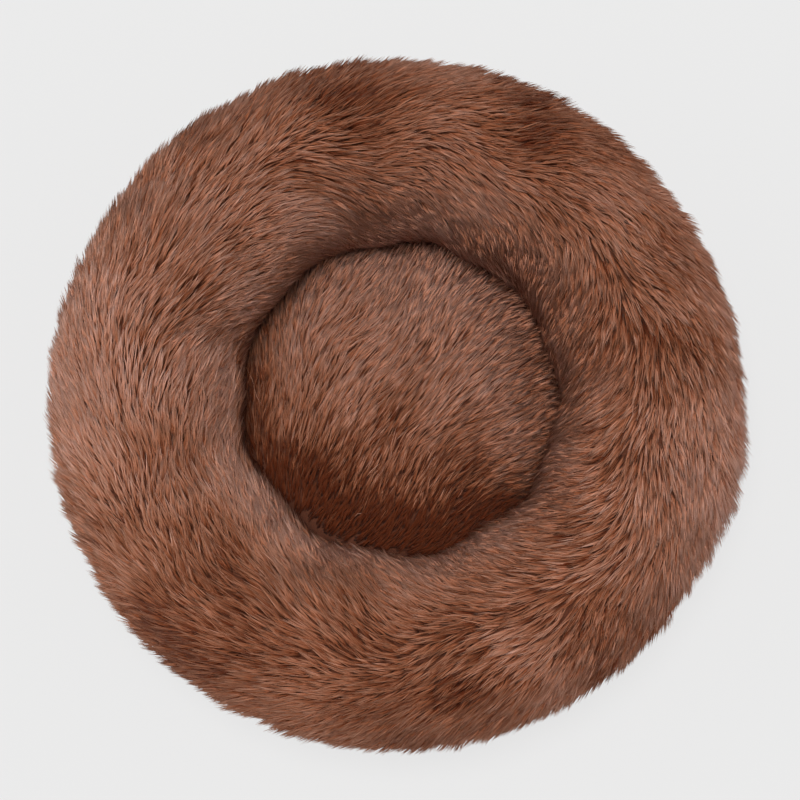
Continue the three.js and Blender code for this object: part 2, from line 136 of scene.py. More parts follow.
# Mesh of a vertex array, its faces' loops and where each face starts in them, with the object at the origin
def makeMesh(name, points, loops, starts, smooth=True, uv=None):
    mesh = bpy.data.meshes.new(name)
    mesh.vertices.add(len(points))
    mesh.vertices.foreach_set("co", np.ascontiguousarray(points, dtype=np.float32).ravel())
    mesh.loops.add(len(loops))
    mesh.loops.foreach_set("vertex_index", np.ascontiguousarray(loops, dtype=np.int32))
    mesh.polygons.add(len(starts))
    mesh.polygons.foreach_set("loop_start", np.ascontiguousarray(starts, dtype=np.int32))
    mesh.polygons.foreach_set("use_smooth", np.full(len(starts), smooth))
    if uv is not None:
        layer = mesh.uv_layers.new(name="OFBake")
        layer.data.foreach_set("uv", np.ascontiguousarray(uv, dtype=np.float32).ravel())
    mesh.update(calc_edges=True)
    mesh.validate()
    return addObject(name, mesh)


# One vertex for those that share a place, where the outline touches the axis
def mergePoles(piece, outline):
    if (np.asarray(outline)[:, 0] == 0).any():
        work = bmesh.new()
        work.from_mesh(piece.data)
        bmesh.ops.remove_doubles(work, verts=work.verts, dist=1e-7)
        work.to_mesh(piece.data)
        work.free()
    return piece


# Each pair of a first and a second value, the second changing fastest
def gridPairs(first, second):
    return (grid.ravel() for grid in np.meshgrid(first, second, indexing="ij"))


def quadLoops(a, b, c, d):
    return np.stack([a, b, c, d], -1).reshape(-1)


# Faces of a closed tube of layers of sides vertices: its quads, then its two ends. Turned, they face the
# other way.
def tubeFaces(layers, sides, turned=False):
    layer, k = gridPairs(np.arange(layers - 1), np.arange(sides))
    low, high, nextK = layer * sides, (layer + 1) * sides, (k + 1) % sides
    first, last = np.arange(sides), (layers - 1) * sides + np.arange(sides)[::-1]
    if turned:
        quads = quadLoops(low + k, low + nextK, high + nextK, high + k)
        first, last = first[::-1], last[::-1]
    else:
        quads = quadLoops(low + k, high + k, high + nextK, low + nextK)
    starts = np.concatenate([np.arange(len(layer)) * 4, [len(quads), len(quads) + sides]])
    return np.concatenate([quads, first, last]), starts


# The same faces for each of a count of equal bodies, whose vertices follow one another
def repeatFaces(loops, starts, vertices, count):
    body = np.arange(count)[:, None]
    return (loops + vertices * body).ravel(), (starts + len(loops) * body).ravel()


# Turns for the round pieces, and for those that the zip's window cuts, with a close pair at each of its ends
evenTurn = np.arange(0, 360, 2.5)
windowEnds = [form[key] + step for key in ("windowFrom", "windowTo") for step in (-0.1, 0.1)]
seamTurns = np.sort(np.concatenate([np.arange(0, 360, 1.5), windowEnds]))


# A loop of [radius, height] at each angle: x = r cos a, y = r sin a
def turnOutline(outline, angles):
    angles = np.radians(angles)[:, None]
    radius, height = np.asarray(outline, float).T
    points = np.broadcast_arrays(np.cos(angles) * radius, np.sin(angles) * radius, height)
    return np.stack(points, -1).reshape(-1, 3)


# Quads of a grid of turns by outline points, both going round, without those that lie on the axis
def turnQuads(outline, turns):
    radius = np.asarray(outline, float)[:, 0]
    width = len(radius)
    i, j = gridPairs(np.arange(turns), np.arange(width))
    used = (radius[j] > 0) | (radius[(j + 1) % width] > 0)
    return i[used], j[used]


def quadCorners(i, j, turns, width):
    nextI, nextJ = (i + 1) % turns, (j + 1) % width
    return i * width + j, nextI * width + j, nextI * width + nextJ, i * width + nextJ


# Turns a closed outline [radius, height], counterclockwise, round the Z axis, with a warp of the whole
def revolve(name, outline, angles, warp):
    i, j = turnQuads(outline, len(angles))
    loops = quadLoops(*quadCorners(i, j, len(angles), len(outline)))
    points = warp(turnOutline(outline, angles))
    return mergePoles(makeMesh(name, points * mm, loops, np.arange(len(i)) * 4), outline)


# Two walls of a sewn bag from an outer and an inner outline of equal length, joined round a filling slit:
# between outline points slitAt and slitAt + 1, over the first slitTurns of the turns
def bagShell(name, outer, inner, angles, slitAt, slitTurns, warp):
    turns, width = len(angles), len(outer)
    wall = turns * width
    points = np.concatenate([turnOutline(outline, angles) for outline in (outer, inner)])
    i, j = turnQuads(outer, turns)
    whole = ~((j == slitAt) & (i < slitTurns))
    a, b, c, d = quadCorners(i[whole], j[whole], turns, width)
    near = np.arange(slitTurns) * width + slitAt
    far = near + 1
    first, last = np.array([slitAt]), np.array([slitTurns * width + slitAt])
    loops = np.concatenate([
        quadLoops(a, b, c, d), quadLoops(d + wall, c + wall, b + wall, a + wall),
        quadLoops(near, near + width, near + width + wall, near + wall),
        quadLoops(far + width, far, far + wall, far + width + wall),
        quadLoops(first + 1, first, first + wall, first + 1 + wall),
        quadLoops(last, last + 1, last + 1 + wall, last + wall),
    ])
    return mergePoles(makeMesh(name, warp(points) * mm, loops, np.arange(len(loops) // 4) * 4), outer)


# A section [radius, height], counterclockwise, carried along an arc of the seam and closed at both ends
def sweepArc(name, section, angles):
    return makeMesh(name, turnOutline(section, angles) * mm, *tubeFaces(len(angles), len(section)))


# Rectangle of a thickness and a width with its corners rounded, as [radius, height] round a middle
def roundBar(middle, thickness, low, high, radius):
    half = thickness / 2
    corners = [(half - radius, high - radius, 0), (-half + radius, high - radius, 90),
               (-half + radius, low + radius, 180), (half - radius, low + radius, 270)]
    return np.array([[middle + across + radius * math.cos(math.radians(start + more)),
                      up + radius * math.sin(math.radians(start + more))]
                     for across, up, start in corners for more in (0, 30, 60, 90)])


# Unit ways outwards and along a circle, at angles in radians
def circleWays(angle):
    flat = np.zeros(len(angle))
    out, along = [np.cos(angle), np.sin(angle), flat], [-np.sin(angle), np.cos(angle), flat]
    return np.stack(out, -1), np.stack(along, -1)


# Short threads that rise out of the cloth and dip back: tubes whose axis stands 0.6 - 5.2 s^2 radii off the
# cloth, over s = -1/2 to 1/2
def stitchMesh(name, centres, along, out, length, radius):
    steps = np.array([-0.5, -0.3, 0.0, 0.3, 0.5])
    swell = np.array([0.45, 1.0, 1.0, 1.0, 0.45])
    sides = 6
    across = np.cross(along, out)
    axis = (centres[:, None] + along[:, None] * (steps * length)[:, None]
            + out[:, None] * (radius * (0.6 - 5.2 * steps ** 2))[:, None])
    angle = np.arange(sides) * turn / sides
    spoke = across[:, None, :] * np.cos(angle)[:, None] + out[:, None, :] * np.sin(angle)[:, None]
    points = axis[:, :, None, :] + spoke[:, None] * (radius * swell)[:, None, None]
    faces = repeatFaces(*tubeFaces(len(steps), sides), len(steps) * sides, len(centres))
    return makeMesh(name, points.reshape(-1, 3) * mm, *faces)


# Stitches along a circle of the seam at a height, on its outer (1) or inner (-1) side
def stitchCircle(name, shape, radius, height, side=1, fromAngle=0, toAngle=360, warp=None):
    count = int(math.radians(toAngle - fromAngle) * radius / (shape["stitch"] + shape["gap"]))
    out, along = circleWays(np.radians(np.linspace(fromAngle, toAngle, count, endpoint=False)))
    centres = out * radius + np.array([0, 0, height])
    if warp:
        centres = warp(centres)
    return stitchMesh(name, centres, along, out * side, shape["stitch"], shape["thread"])


# A section's path with its length, its normal and straight ends to run on past both seams
def makeTrack(outline, reach=0.0, pitch=1.0, runOn=40.0):
    points = resample(outline, pitch, reach)
    step = np.gradient(points, axis=0)
    step /= np.linalg.norm(step, axis=1)[:, None]
    places = lengthsAlong(points)
    length = places[-1]
    points = np.concatenate([points[:1] - step[:1] * runOn, points, points[-1:] + step[-1:] * runOn])
    step = np.concatenate([step[:1], step, step[-1:]])
    return {"place": np.concatenate([[-runOn], places, [length + runOn]]), "length": length,
            "radius": points[:, 0], "height": points[:, 1], "out": step[:, 1], "up": -step[:, 0],
            "swell": np.zeros((4, 2))}


def onTrack(track, place, key):
    return np.interp(place, track["place"], track[key])


# How far the swollen skin stands off its drawn line, between the four nearest points of the track's table
def swollen(track, angle, place):
    table = track["swell"]
    turns, rows = table.shape
    i = angle % turn / turn * turns
    j = np.clip(place / track["length"], 0, 1) * (rows - 1)
    left, low = np.floor(i).astype(int) % turns, np.minimum(np.floor(j).astype(int), rows - 2)
    right, across, up = (left + 1) % turns, i - np.floor(i), j - low
    near = table[left, low] * (1 - up) + table[left, low + 1] * up
    far = table[right, low] * (1 - up) + table[right, low + 1] * up
    return near * (1 - across) + far * across


# Radius and height of a point that stands over the swollen skin, at a place along the section
def overSkin(track, angle, place, height):
    height = height + swollen(track, angle, place)
    return (onTrack(track, place, "radius") + height * onTrack(track, place, "out"),
            onTrack(track, place, "height") + height * onTrack(track, place, "up"))


# Point at a turn round the axis, a place along the section and a height over the skin
def ringAt(track, angle, place, height):
    radius, z = overSkin(track, angle, place, height)
    return warpRing(np.stack([radius * np.cos(angle), radius * np.sin(angle), z], -1))


# The pad laid out flat: (x, y) there is as far from the middle as the point is along the pad's arch
def padAt(track, x, y, height):
    reach = np.hypot(x, y)
    radius, z = overSkin(track, np.arctan2(y, x), track["length"] - reach, height)
    scale = np.where(reach < 1, 1, radius / np.maximum(reach, 1e-6))
    return shiftNest(np.stack([x * scale, y * scale, z], -1))


# The way that a skin faces at two coordinates of its point function
def facingWay(at, track, u, v):
    return at(track, u, v, 1.0) - at(track, u, v, 0.0)


# Soft noise: cosines along random directions, with wavelengths round the given one, at about unit strength
def makeWaves(seed, length, count=9):
    random = np.random.default_rng(seed)
    way = random.normal(size=(count, 3))
    way /= np.linalg.norm(way, axis=1)[:, None]
    pitch = turn / (length * random.uniform(0.7, 1.4, count))
    phase = random.uniform(0, turn, count)
    return lambda points: np.cos(points @ (way * pitch[:, None]).T + phase).sum(-1) * math.sqrt(2 / count)


# A value with soft noises added, each of a wavelength and an amount, with seeds that count up
def addWaves(value, waves, seed, feet):
    for step, (length, amount) in enumerate(waves):
        value = value + amount * makeWaves(seed + step, length)(feet)
    return value


# Rows of points a pitch apart on circles whose radii the track gives, each moved by chance within its cell
def sowRows(rows, radii, pitch, random):
    counts = np.maximum(np.round(turn * radii / pitch).astype(int), 3)
    row = np.repeat(np.arange(len(rows)), counts)
    index = np.arange(counts.sum()) - np.repeat(np.cumsum(counts) - counts, counts)
    jitter = random.uniform(-0.5, 0.5, (2, len(row)))
    angle = (index + random.random(len(rows))[row] + jitter[0]) * turn / counts[row]
    return angle, rows[row] + jitter[1] * pitch


strandRings = np.array([0.0, 0.42, 1.0])
strandTaper = np.array([0.9, 1.0])


# Closed three-sided tubes along paths of three points: two rings and a tip, so 7 vertices and 10 triangles
# each. In the map, u is the strand's tone and v runs from root to tip.
def strandMesh(name, paths, normals, strands, chosen=slice(None)):
    paths, normals = paths[chosen], normals[chosen]
    radius, tone, twist = (strands[key][chosen] for key in ("radius", "tone", "twist"))
    along = np.gradient(paths, axis=1)
    along /= np.linalg.norm(along, axis=2)[..., None]
    side = np.cross(along, normals[:, None, :])
    side /= np.linalg.norm(side, axis=2)[..., None]
    up = np.cross(side, along)
    angle = twist[:, None] + np.arange(3) * turn / 3
    spoke = (np.cos(angle)[:, None, :, None] * side[:, :2, None, :]
             + np.sin(angle)[:, None, :, None] * up[:, :2, None, :])
    rings = paths[:, :2, None, :] + spoke * (radius[:, None] * strandTaper)[:, :, None, None]
    points = np.concatenate([rings.reshape(len(paths), 6, 3), paths[:, 2:3]], 1)
    # Three quads between the rings, three triangles to the tip and the root's end
    faces = [[k, 3 + k, 3 + (k + 1) % 3, (k + 1) % 3] for k in range(3)]
    faces += [[3 + k, 6, 3 + (k + 1) % 3] for k in range(3)]
    faces += [[0, 1, 2]]
    root, middle, tip = 0.02 + 0.96 * strandRings
    wide = 0.001
    uvs = [(0, root), (0, middle), (wide, middle), (wide, root)] * 3
    uvs += [(0, middle), (wide / 2, tip), (wide, middle)] * 3
    uvs += [(0, 0), (wide, 0), (wide / 2, root)]
    starts = np.cumsum([0] + [len(face) for face in faces[:-1]])
    loops, starts = repeatFaces(np.concatenate(faces), starts, 7, len(paths))
    uv = np.broadcast_to(np.array(uvs, float), (len(paths), len(uvs), 2)).copy()
    uv[..., 0] += tone[:, None]
    return makeMesh(name, points.reshape(-1, 3) * mm, loops, starts, uv=uv.reshape(-1, 2))


# What chance gives each lock, in the order in which it's drawn
def drawLocks(pile, random, count):
    return {
        "height": random.uniform(0.8, 1.15, count), "lift": random.uniform(0, 1, count) ** 2,
        "bend": random.normal(0, 0.07, count), "closing": random.normal(0, 0.1, count),
        "tone": random.normal(0, pile["lockTone"], count),
    }


# Spreads each lock's values over its strands and gives each strand its own share of chance
def strandsOfLocks(pile, locks, random):
    strands = {key: np.repeat(value, pile["strands"]) for key, value in locks.items()}
    count = len(strands["angle"])
    strands["across"] = random.uniform(-1, 1, count) * pile["spread"]
    strands["behind"] = random.uniform(-1, 1, count) * pile["stagger"]
    strands["length"] = strands["length"] * random.uniform(0.82, 1.15, count)
    strands["height"] = strands["height"] * random.uniform(0.7, 1.15, count)
    strands["radius"] = pile["thickness"] * random.uniform(0.7, 1.3, count)
    strands["tone"] = np.clip(strands["tone"] + random.normal(0, pile["strandTone"], count), 0.01, 0.98)
    strands["twist"] = random.uniform(0, turn, count)
    strands["wander"] = random.normal(0, pile["wander"], count)
    return strands


# Steps forward and sideways along each strand, with its height over the skin and its way at its points.
# Sideways it closes in on its lock as across (1 - c t^1.2). It rises as 1 - (1 - t)^2.4 and lifts its tip
# by t^2.
def strandSteps(strands):
    length, behind, across, closing, wander, gathered, rise, lift, lean, bend = (
        strands[key][:, None] for key in ("length", "behind", "across", "closing", "wander", "gathered",
                                          "height", "lift", "lean", "bend")
    )
    t = strandRings[None, :]
    forward = length * (0.62 * t + 0.38 * t * t) + behind * (1 - 0.35 * t)
    sideways = across * (1 - closing * t ** 1.2) + wander * t * t + gathered * t ** 1.5
    height = rise * (1 - (1 - t) ** 2.4) + lift * t * t - 0.6 * (1 - t)
    return forward, sideways, height, lean + bend * t


# Steps from (x, y) forward along a way, in radians, and sideways from it
def steer(x, y, way, forward, sideways):
    return (x[:, None] + np.cos(way) * forward - np.sin(way) * sideways,
            y[:, None] + np.sin(way) * forward + np.cos(way) * sideways)


# Tufts of locks: how far each lock lies sideways from the middle of its tuft, in cells a reach wide whose
# middles are moved by sin(127 row + 311 column) shares of it, and a chance from 0 to 1 that the tuft's locks
# share. (u, v) is the place and lean the way, in radians.
def gatherTufts(u, v, lean, reach):
    row = np.floor(v / reach)
    u = u + reach / 2 * (row % 2)
    column = np.floor(u / reach)
    middleU = (column + 0.5 + 0.28 * np.sin(127.1 * row + 311.7 * column)) * reach
    middleV = (row + 0.5 + 0.28 * np.sin(269.5 * row + 183.3 * column)) * reach
    chance = 43.7 * np.sin(12.9 * row + 78.2 * column + 1.3)
    return np.sin(lean) * (middleU - u) - np.cos(lean) * (middleV - v), chance - np.floor(chance)


# exp(-d^2 / 2), with d how many reaches an angle lies from the middle; both in degrees, the angle in radians
def bell(angle, middle, reach):
    off = (np.degrees(angle) - middle + 180) % 360 - 180
    return np.exp(-(off / reach) ** 2 / 2)


# Cosine of how far an angle in radians lies from a way in degrees
def cosFrom(angle, way):
    return np.cos(angle - math.radians(way))


# 1 towards a way in degrees and 0 away from it
def shareTowards(angle, way):
    return 0.5 + 0.5 * cosFrom(angle, way)


# Bell curves round spots of [x, y, reach], seen from above: one column for each spot
def spotBells(spots, feet):
    apart = feet[:, None, :2] - spots[:, :2]
    return np.exp(-(apart ** 2).sum(-1) / (2 * spots[:, 2] ** 2))


# How far the pile stands up and parts at a place: most in the middle of each parting, with a soft noise
def standing(pile, feet, seed):
    spots = np.array(pile["partings"], float)
    return spotBells(spots, feet).max(1) * (0.75 + 0.25 * makeWaves(seed, 25)(feet))


# Painted light and shade: the sum of the bell curves of the places that lie darker or lighter
def shading(pile, feet):
    spots = np.array(pile["shades"], float)
    return (spotBells(spots, feet) * spots[:, 3]).sum(1)


# Spans are degrees that a skin faces, 0 outwards, 90 up and 180 inwards, and zipLow is two heights. Waves are
# [wavelength, amount], and what ends in Towards is a turn in degrees.
ringPile = {
    "seed": 11, "pitch": 3.4, "strands": 4, "spread": 1.7, "stagger": 3.2, "length": 19, "height": 6.4,
    "thickness": 0.52, "closing": 0.76, "wander": 0.3, "strandTone": 0.085, "lockTone": 0.13,
    "patchTone": 0.05, "sideLightTone": 0.17, "sideLightSpan": (60, 130), "litTowards": 90, "litSideTone": 0.02,
    "litToneSpread": 0.4, "litSpreadTowards": 165, "tuft": 7.0, "tufting": 0.2, "edgeTufting": 0.6,
    "edgeSpan": (15, 62),
    "lipTowards": 236, "lipSpan": (110, 160), "lipLight": 0.56, "litLipSpan": (150, 176), "underShade": 0.35,
    "underShadeSpan": (162, 184), "hemStart": 2, "innerEnd": 5, "sectors": 8,
    "outLean": 31, "outLeanMore": 12, "leanTowards": 70, "inLean": 42, "inLeanMore": 12, "inLeanTowards": -40,
    "alongLip": 25, "alongTowards": 220, "alongReach": 27, "leanWaves": [[110, 8], [45, 6], [16, 2.5]],
    "leanChance": 2.5, "floorGap": 6, "leastDrop": 3, "leastLean": 12,
    "zipFrom": 46, "zipTo": 139, "zipHeight": 22.4, "zipReach": 238, "zipFade": 12, "zipLow": (30, 60),
    "zipLean": 8, "edgeLow": 0.4, "lipLow": 0.45, "lift": 3.4, "edgeLift": 0.45, "lipLift": 0.4,
    "lipSpikes": 0.6, "spikeShare": 0.26, "tuftShare": 0.17, "spikeLift": 8.0, "mostLift": 8.2,
    "bigLift": 5.5, "spikeTowards": -11, "spikeReach": 9,
    # Where the pile stands up and parts, seen from above: x, y and reach
    "partings": [[-166, 176, 26], [-60, 225, 30], [110, 225, 26], [186, 62, 34], [52, -195, 34],
                 [-133, 50, 20], [150, -170, 26]],
    # Painted light and shade, with some of the pile's own tone, where it lies darker or lighter: x, y, reach
    # and tone
    "shades": [[-145, -178, 36, -0.34], [180, 115, 24, -0.16], [-225, 0, 45, 0.14], [-170, -15, 18, 0.16],
               [236, -60, 30, 0.25], [128, 138, 24, 0.1], [152, 170, 22, -0.2], [229, 2, 26, 0.16],
               [-192, 84, 24, -0.13], [-10, 168, 34, -0.32], [-10, -140, 25, -0.25], [0, 230, 34, 0.12],
               [170, -5, 30, -0.12], [18, 118, 42, 0.44], [90, 168, 30, -0.28], [212, 30, 24, -0.18],
               [115, -122, 38, -0.22], [-85, -130, 20, -0.18], [110, -190, 40, 0.2], [-120, -45, 34, -0.2],
               [-205, -105, 30, -0.14]],
}
padPile = {
    "seed": 23, "pitch": 3.4, "strands": 4, "spread": 1.7, "stagger": 3.2, "length": 18, "height": 5.6,
    "thickness": 0.52, "closing": 0.74, "wander": 0.3, "strandTone": 0.1, "lockTone": 0.13, "patchTone": 0.06,
    "litTowards": 95, "litSideTone": 0.28, "paintedLightLift": 0.05, "tuft": 6.5, "tufting": 0.2, "lift": 2.4,
    # Painted light and shade: x, y, reach and tone
    "shades": [[3, 6, 30, 0.02], [85, 0, 26, 0.2], [75, -55, 20, 0.2], [45, 86, 32, 0.22]],
    "shadeTone": 0.62, "shadeFrom": 6, "shadeReach": 74, "shadeTowards": 258,
    "rimShade": 0.42, "rimReach": 56, "rimTowards": 195, "rimSide": 40,
    "rimEnd": 3, "rimBare": 24, "bareTowards": 245, "rimHold": 6, "way": 51, "wayTurn": -24,
    "wayWaves": [[90, 8.4], [30, 4]], "leanChance": 2.5,
    "partings": [[0, -78, 40], [60, -72, 26], [-55, -60, 20]],
}


# The ring's outer face a depth under the solid's: hem, flare, then the ellipse to the inner seam
def ringFace(depth):
    hem = form["hemOuter"] - min(depth, form["plush"])
    hemLine = pathOf(hem, [form["hemFoot"], form["hemTop"] - 2])
    return np.concatenate([hemLine, sectionArc(form["outerSeam"] + 4, form["innerSeam"], 120, depth)])


# Half the pad's section a depth under the solid's face, from the rim to the axis
def crownArc(rimRadius, depth, steps):
    share = np.cos(np.linspace(0, math.pi / 2, steps + 1))
    share[-1] = 0
    rise = (form["crown"] - rimHeight) * np.sqrt(1 - share ** form["crownPower"])
    return pathOf(rimRadius * share, rimHeight - depth + rise)


skinShape = {
    "inset": 3.3, "rowPitch": 6.0, "turns": 120, "frames": 20, "pressure": 9.0, "padPressure": 4.0,
    "stiffness": 5.0, "bending": 0.2, "mass": 0.3, "most": 1.5, "least": -0.2, "poleGap": 8.0,
}


# The sewn skin swells as cloth under pressure, held at its seams. How far each point goes along the way
# the skin faces, between a least and a most, is the track's table. The last row before a pole is one value.
def swellSkin(track, rows, at, shape, pressure, held):
    turns, count = shape["turns"], len(rows)
    angle, place = gridPairs(np.arange(turns) * turn / turns, rows)
    start, above = at(angle, place, 0.0), at(angle, place, 1.0)
    i, j = gridPairs(np.arange(turns), np.arange(count - 1))
    loops = quadLoops(*quadCorners(i, j, turns, count))
    skin = makeMesh("swelling_skin", start * mm, loops, np.arange(len(i)) * 4)
    seams = skin.vertex_groups.new(name="seams")
    seams.add([index for row in held for index in range(row % count, len(start), count)], 1.0, "REPLACE")
    cloth = skin.modifiers.new("swelling", "CLOTH")
    settings = cloth.settings
    settings.vertex_group_mass = "seams"
    settings.use_pressure = True
    settings.uniform_pressure_force = pressure
    settings.effector_weights.gravity = 0
    settings.mass = shape["mass"]
    settings.tension_stiffness = settings.compression_stiffness = shape["stiffness"]
    settings.bending_stiffness = shape["bending"]
    cloth.collision_settings.use_collision = False
    cloth.point_cache.frame_end = shape["frames"]
    for step in range(1, shape["frames"] + 1):
        bpy.context.scene.frame_set(step)
    seen = skin.evaluated_get(bpy.context.evaluated_depsgraph_get())
    moved = np.empty(len(start) * 3, np.float32)
    seen.data.vertices.foreach_get("co", moved)
    bpy.context.scene.frame_set(1)
    mesh = skin.data
    bpy.data.objects.remove(skin)
    bpy.data.meshes.remove(mesh)
    rise = ((moved.reshape(-1, 3) / mm - start) * (above - start)).sum(1).reshape(turns, count)
    print("swelling: mean", rise.mean().round(2), "least", rise.min().round(2), "most", rise.max().round(2))
    track["swell"] = np.clip(rise, shape["least"], shape["most"])
    if -1 not in held:
        track["swell"][:, -1] = track["swell"][:, -1].mean()


def skinRows(track):
    return np.linspace(0, track["length"], round(track["length"] / skinShape["rowPitch"]) + 1)


ringTrack = makeTrack(ringFace(skinShape["inset"]), reach=8)
padTrack = makeTrack(crownArc(padRadius - skinShape["inset"], skinShape["inset"], 90))
padRows = skinRows(padTrack)
padRows[-1] -= skinShape["poleGap"] / 4


# The same angle and place for the pad, whose places run from the rim to the middle
def padRound(angle, place, height):
    reach = padTrack["length"] - place
    return padAt(padTrack, reach * np.cos(angle), reach * np.sin(angle), height)


swellSkin(ringTrack, skinRows(ringTrack), lambda *at: ringAt(ringTrack, *at), skinShape,
          skinShape["pressure"], (0, -1))
swellSkin(padTrack, padRows, padRound, skinShape, skinShape["padPressure"], (0,))
print("skins swollen")


# Locks on the ring: they lie along it and lean down its outer side and into the nest, with tufts that stand
# out at the edge, then their strands, without those that would fill the zip's slot or reach the floor
def growRing(pile, track):
    random = np.random.default_rng(pile["seed"])
    rows = np.arange(pile["hemStart"], track["length"] - pile["innerEnd"], pile["pitch"])
    angle, place = sowRows(rows, onTrack(track, rows, "radius"), pile["pitch"], random)
    count = len(angle)
    feet = ringAt(track, angle, place, 0.0)
    # 0 at the outer side, 90 at the crest and 180 at the inner side, from the way the skin faces
    facing = np.degrees(np.arctan2(onTrack(track, place, "up"), onTrack(track, place, "out")))
    facing = np.where(facing < -90, facing + 360, facing)
    outer = np.clip((90 - facing) / 90, -1.3, 1.5)
    inner = np.clip(-outer, 0, 1)
    outLean = pile["outLean"] + pile["outLeanMore"] * np.cos(2 * (angle - math.radians(pile["leanTowards"])))
    inLean = pile["inLean"] + pile["inLeanMore"] * cosFrom(angle, pile["inLeanTowards"])
    inLean -= pile["alongLip"] * bell(angle, pile["alongTowards"], pile["alongReach"])
    lean = np.where(outer > 0, outLean * outer, -inLean * inner * (2 - inner))
    lean = addWaves(lean, pile["leanWaves"], 3, feet) + random.normal(0, pile["leanChance"], count)
    rootHeight = onTrack(track, place, "height")
    degrees = np.degrees(angle) % 360
    nearZip = smoothStep(pile["zipFrom"] - pile["zipFade"], pile["zipFrom"], degrees)
    nearZip *= 1 - smoothStep(pile["zipTo"], pile["zipTo"] + pile["zipFade"], degrees)
    nearZip = nearZip * (1 - smoothStep(*pile["zipLow"], rootHeight))
    lean = lean * (1 - nearZip) + pile["zipLean"] * nearZip
    length = pile["length"] * random.uniform(0.85, 1.2, count) * (1 + 0.1 * makeWaves(6, 70)(feet))
    steep = np.sin(np.radians(np.clip(lean, pile["leastLean"], 90)))
    length = np.minimum(length, np.maximum(rootHeight - pile["floorGap"], pile["leastDrop"]) / steep)
    stand = standing(pile, feet, 9)
    edge = 1 - smoothStep(*pile["edgeSpan"], facing)
    # The lip that hangs over the pad's near rim
    lip = smoothStep(*pile["lipSpan"], facing) * shareTowards(angle, pile["lipTowards"]) ** 1.5
    # Painted light on top of the lip and painted shade where it turns under, into the seam
    lipShade = pile["lipLight"] * (1 - smoothStep(*pile["litLipSpan"], facing))
    lipShade = lipShade - pile["underShade"] * smoothStep(*pile["underShadeSpan"], facing)
    # Painted light: the spread of the locks' own tone is wider where they lie across the light
    spread = 1 + pile["litToneSpread"] * np.cos(2 * (angle - math.radians(pile["litSpreadTowards"])))
    big = bell(angle, pile["spikeTowards"], pile["spikeReach"])
    tall = 0.76 + 0.7 * big
    radius = onTrack(track, place, "radius")
    offset, chance = gatherTufts(angle * radius, place, np.radians(lean), pile["tuft"])
    single = (random.random(count) < pile["spikeShare"]) * random.uniform(0.5, 1, count)
    whole = (chance < pile["tuftShare"] * tall) * (0.9 + 0.5 * chance / pile["tuftShare"])
    # Single locks and whole tufts stand out at the edge, and single ones on the lip
    spike = np.maximum(single, whole) * edge * tall * (1 - nearZip)
    loose = (random.random(count) < pile["spikeShare"]) * lip
    spike += loose * random.uniform(0.5, 1, count) * pile["lipSpikes"]
    drawn = drawLocks(pile, random, count)
    height = pile["height"] * (1 - pile["edgeLow"] * edge - pile["lipLow"] * lip) * drawn["height"]
    lift = drawn["lift"] * pile["lift"] * (1 - pile["edgeLift"] * edge - pile["lipLift"] * lip)
    tufting = pile["tufting"] + pile["edgeTufting"] * np.maximum(edge, lip) * (1 + 0.4 * big)
    tone = 0.5 + pile["patchTone"] * makeWaves(8, 60)(feet) + spread * drawn["tone"]
    # Painted light: lighter towards the lit side, then the lip's painted light and shade
    tone = tone + pile["litSideTone"] * cosFrom(angle, pile["litTowards"]) + lipShade * lip
    # Painted light on the left and right outer sides
    tone = tone + pile["sideLightTone"] * np.cos(2 * angle) * (1 - smoothStep(*pile["sideLightSpan"], facing))
    # Painted shade in the partings, and the listed spots of painted light and shade
    locks = {
        "angle": angle, "place": place, "lean": np.radians(lean), "length": length * (1 - 0.2 * stand),
        "height": height * (1 + 0.12 * makeWaves(7, 40)(feet) + 0.3 * stand),
        "lift": np.minimum(lift + spike * pile["spikeLift"], pile["mostLift"] + pile["bigLift"] * big),
        "bend": drawn["bend"] * (1 + 2.5 * lip),
        "closing": np.clip(pile["closing"] + 0.2 * stand + 0.5 * spike + drawn["closing"], 0, 0.95),
        "gathered": tufting * offset, "tone": tone - 0.25 * stand + shading(pile, feet),
    }
    strands = strandsOfLocks(pile, locks, random)
    forward, sideways, height, lean = strandSteps(strands)
    angle, place = strands["angle"], strands["place"]
    around = -np.cos(lean) * forward + np.sin(lean) * sideways
    down = -np.sin(lean) * forward - np.cos(lean) * sideways
    turned = angle[:, None] + around / onTrack(track, place, "radius")[:, None]
    paths = ringAt(track, turned, place[:, None] + down, height)
    normals = facingWay(ringAt, track, angle, place)
    # The slot of the zip and the room that its pull swings in stay free
    degrees = np.degrees(np.arctan2(paths[..., 1], paths[..., 0])) % 360
    inSlot = (degrees > pile["zipFrom"]) & (degrees < pile["zipTo"]) & (paths[..., 2] < pile["zipHeight"])
    inSlot &= np.hypot(paths[..., 0], paths[..., 1]) < pile["zipReach"]
    keep = ~inSlot.any(1) & (paths[..., 2] > pile["floorGap"] - 1).all(1)
    sector = np.floor((angle % turn) / turn * pile["sectors"]).astype(int) % pile["sectors"]
    print("ring pile:", count, "locks,", int(keep.sum()), "strands")
    return [strandMesh(f"bolster_pile_{k + 1}", paths, normals, strands, keep & (sector == k))
            for k in range(pile["sectors"])]


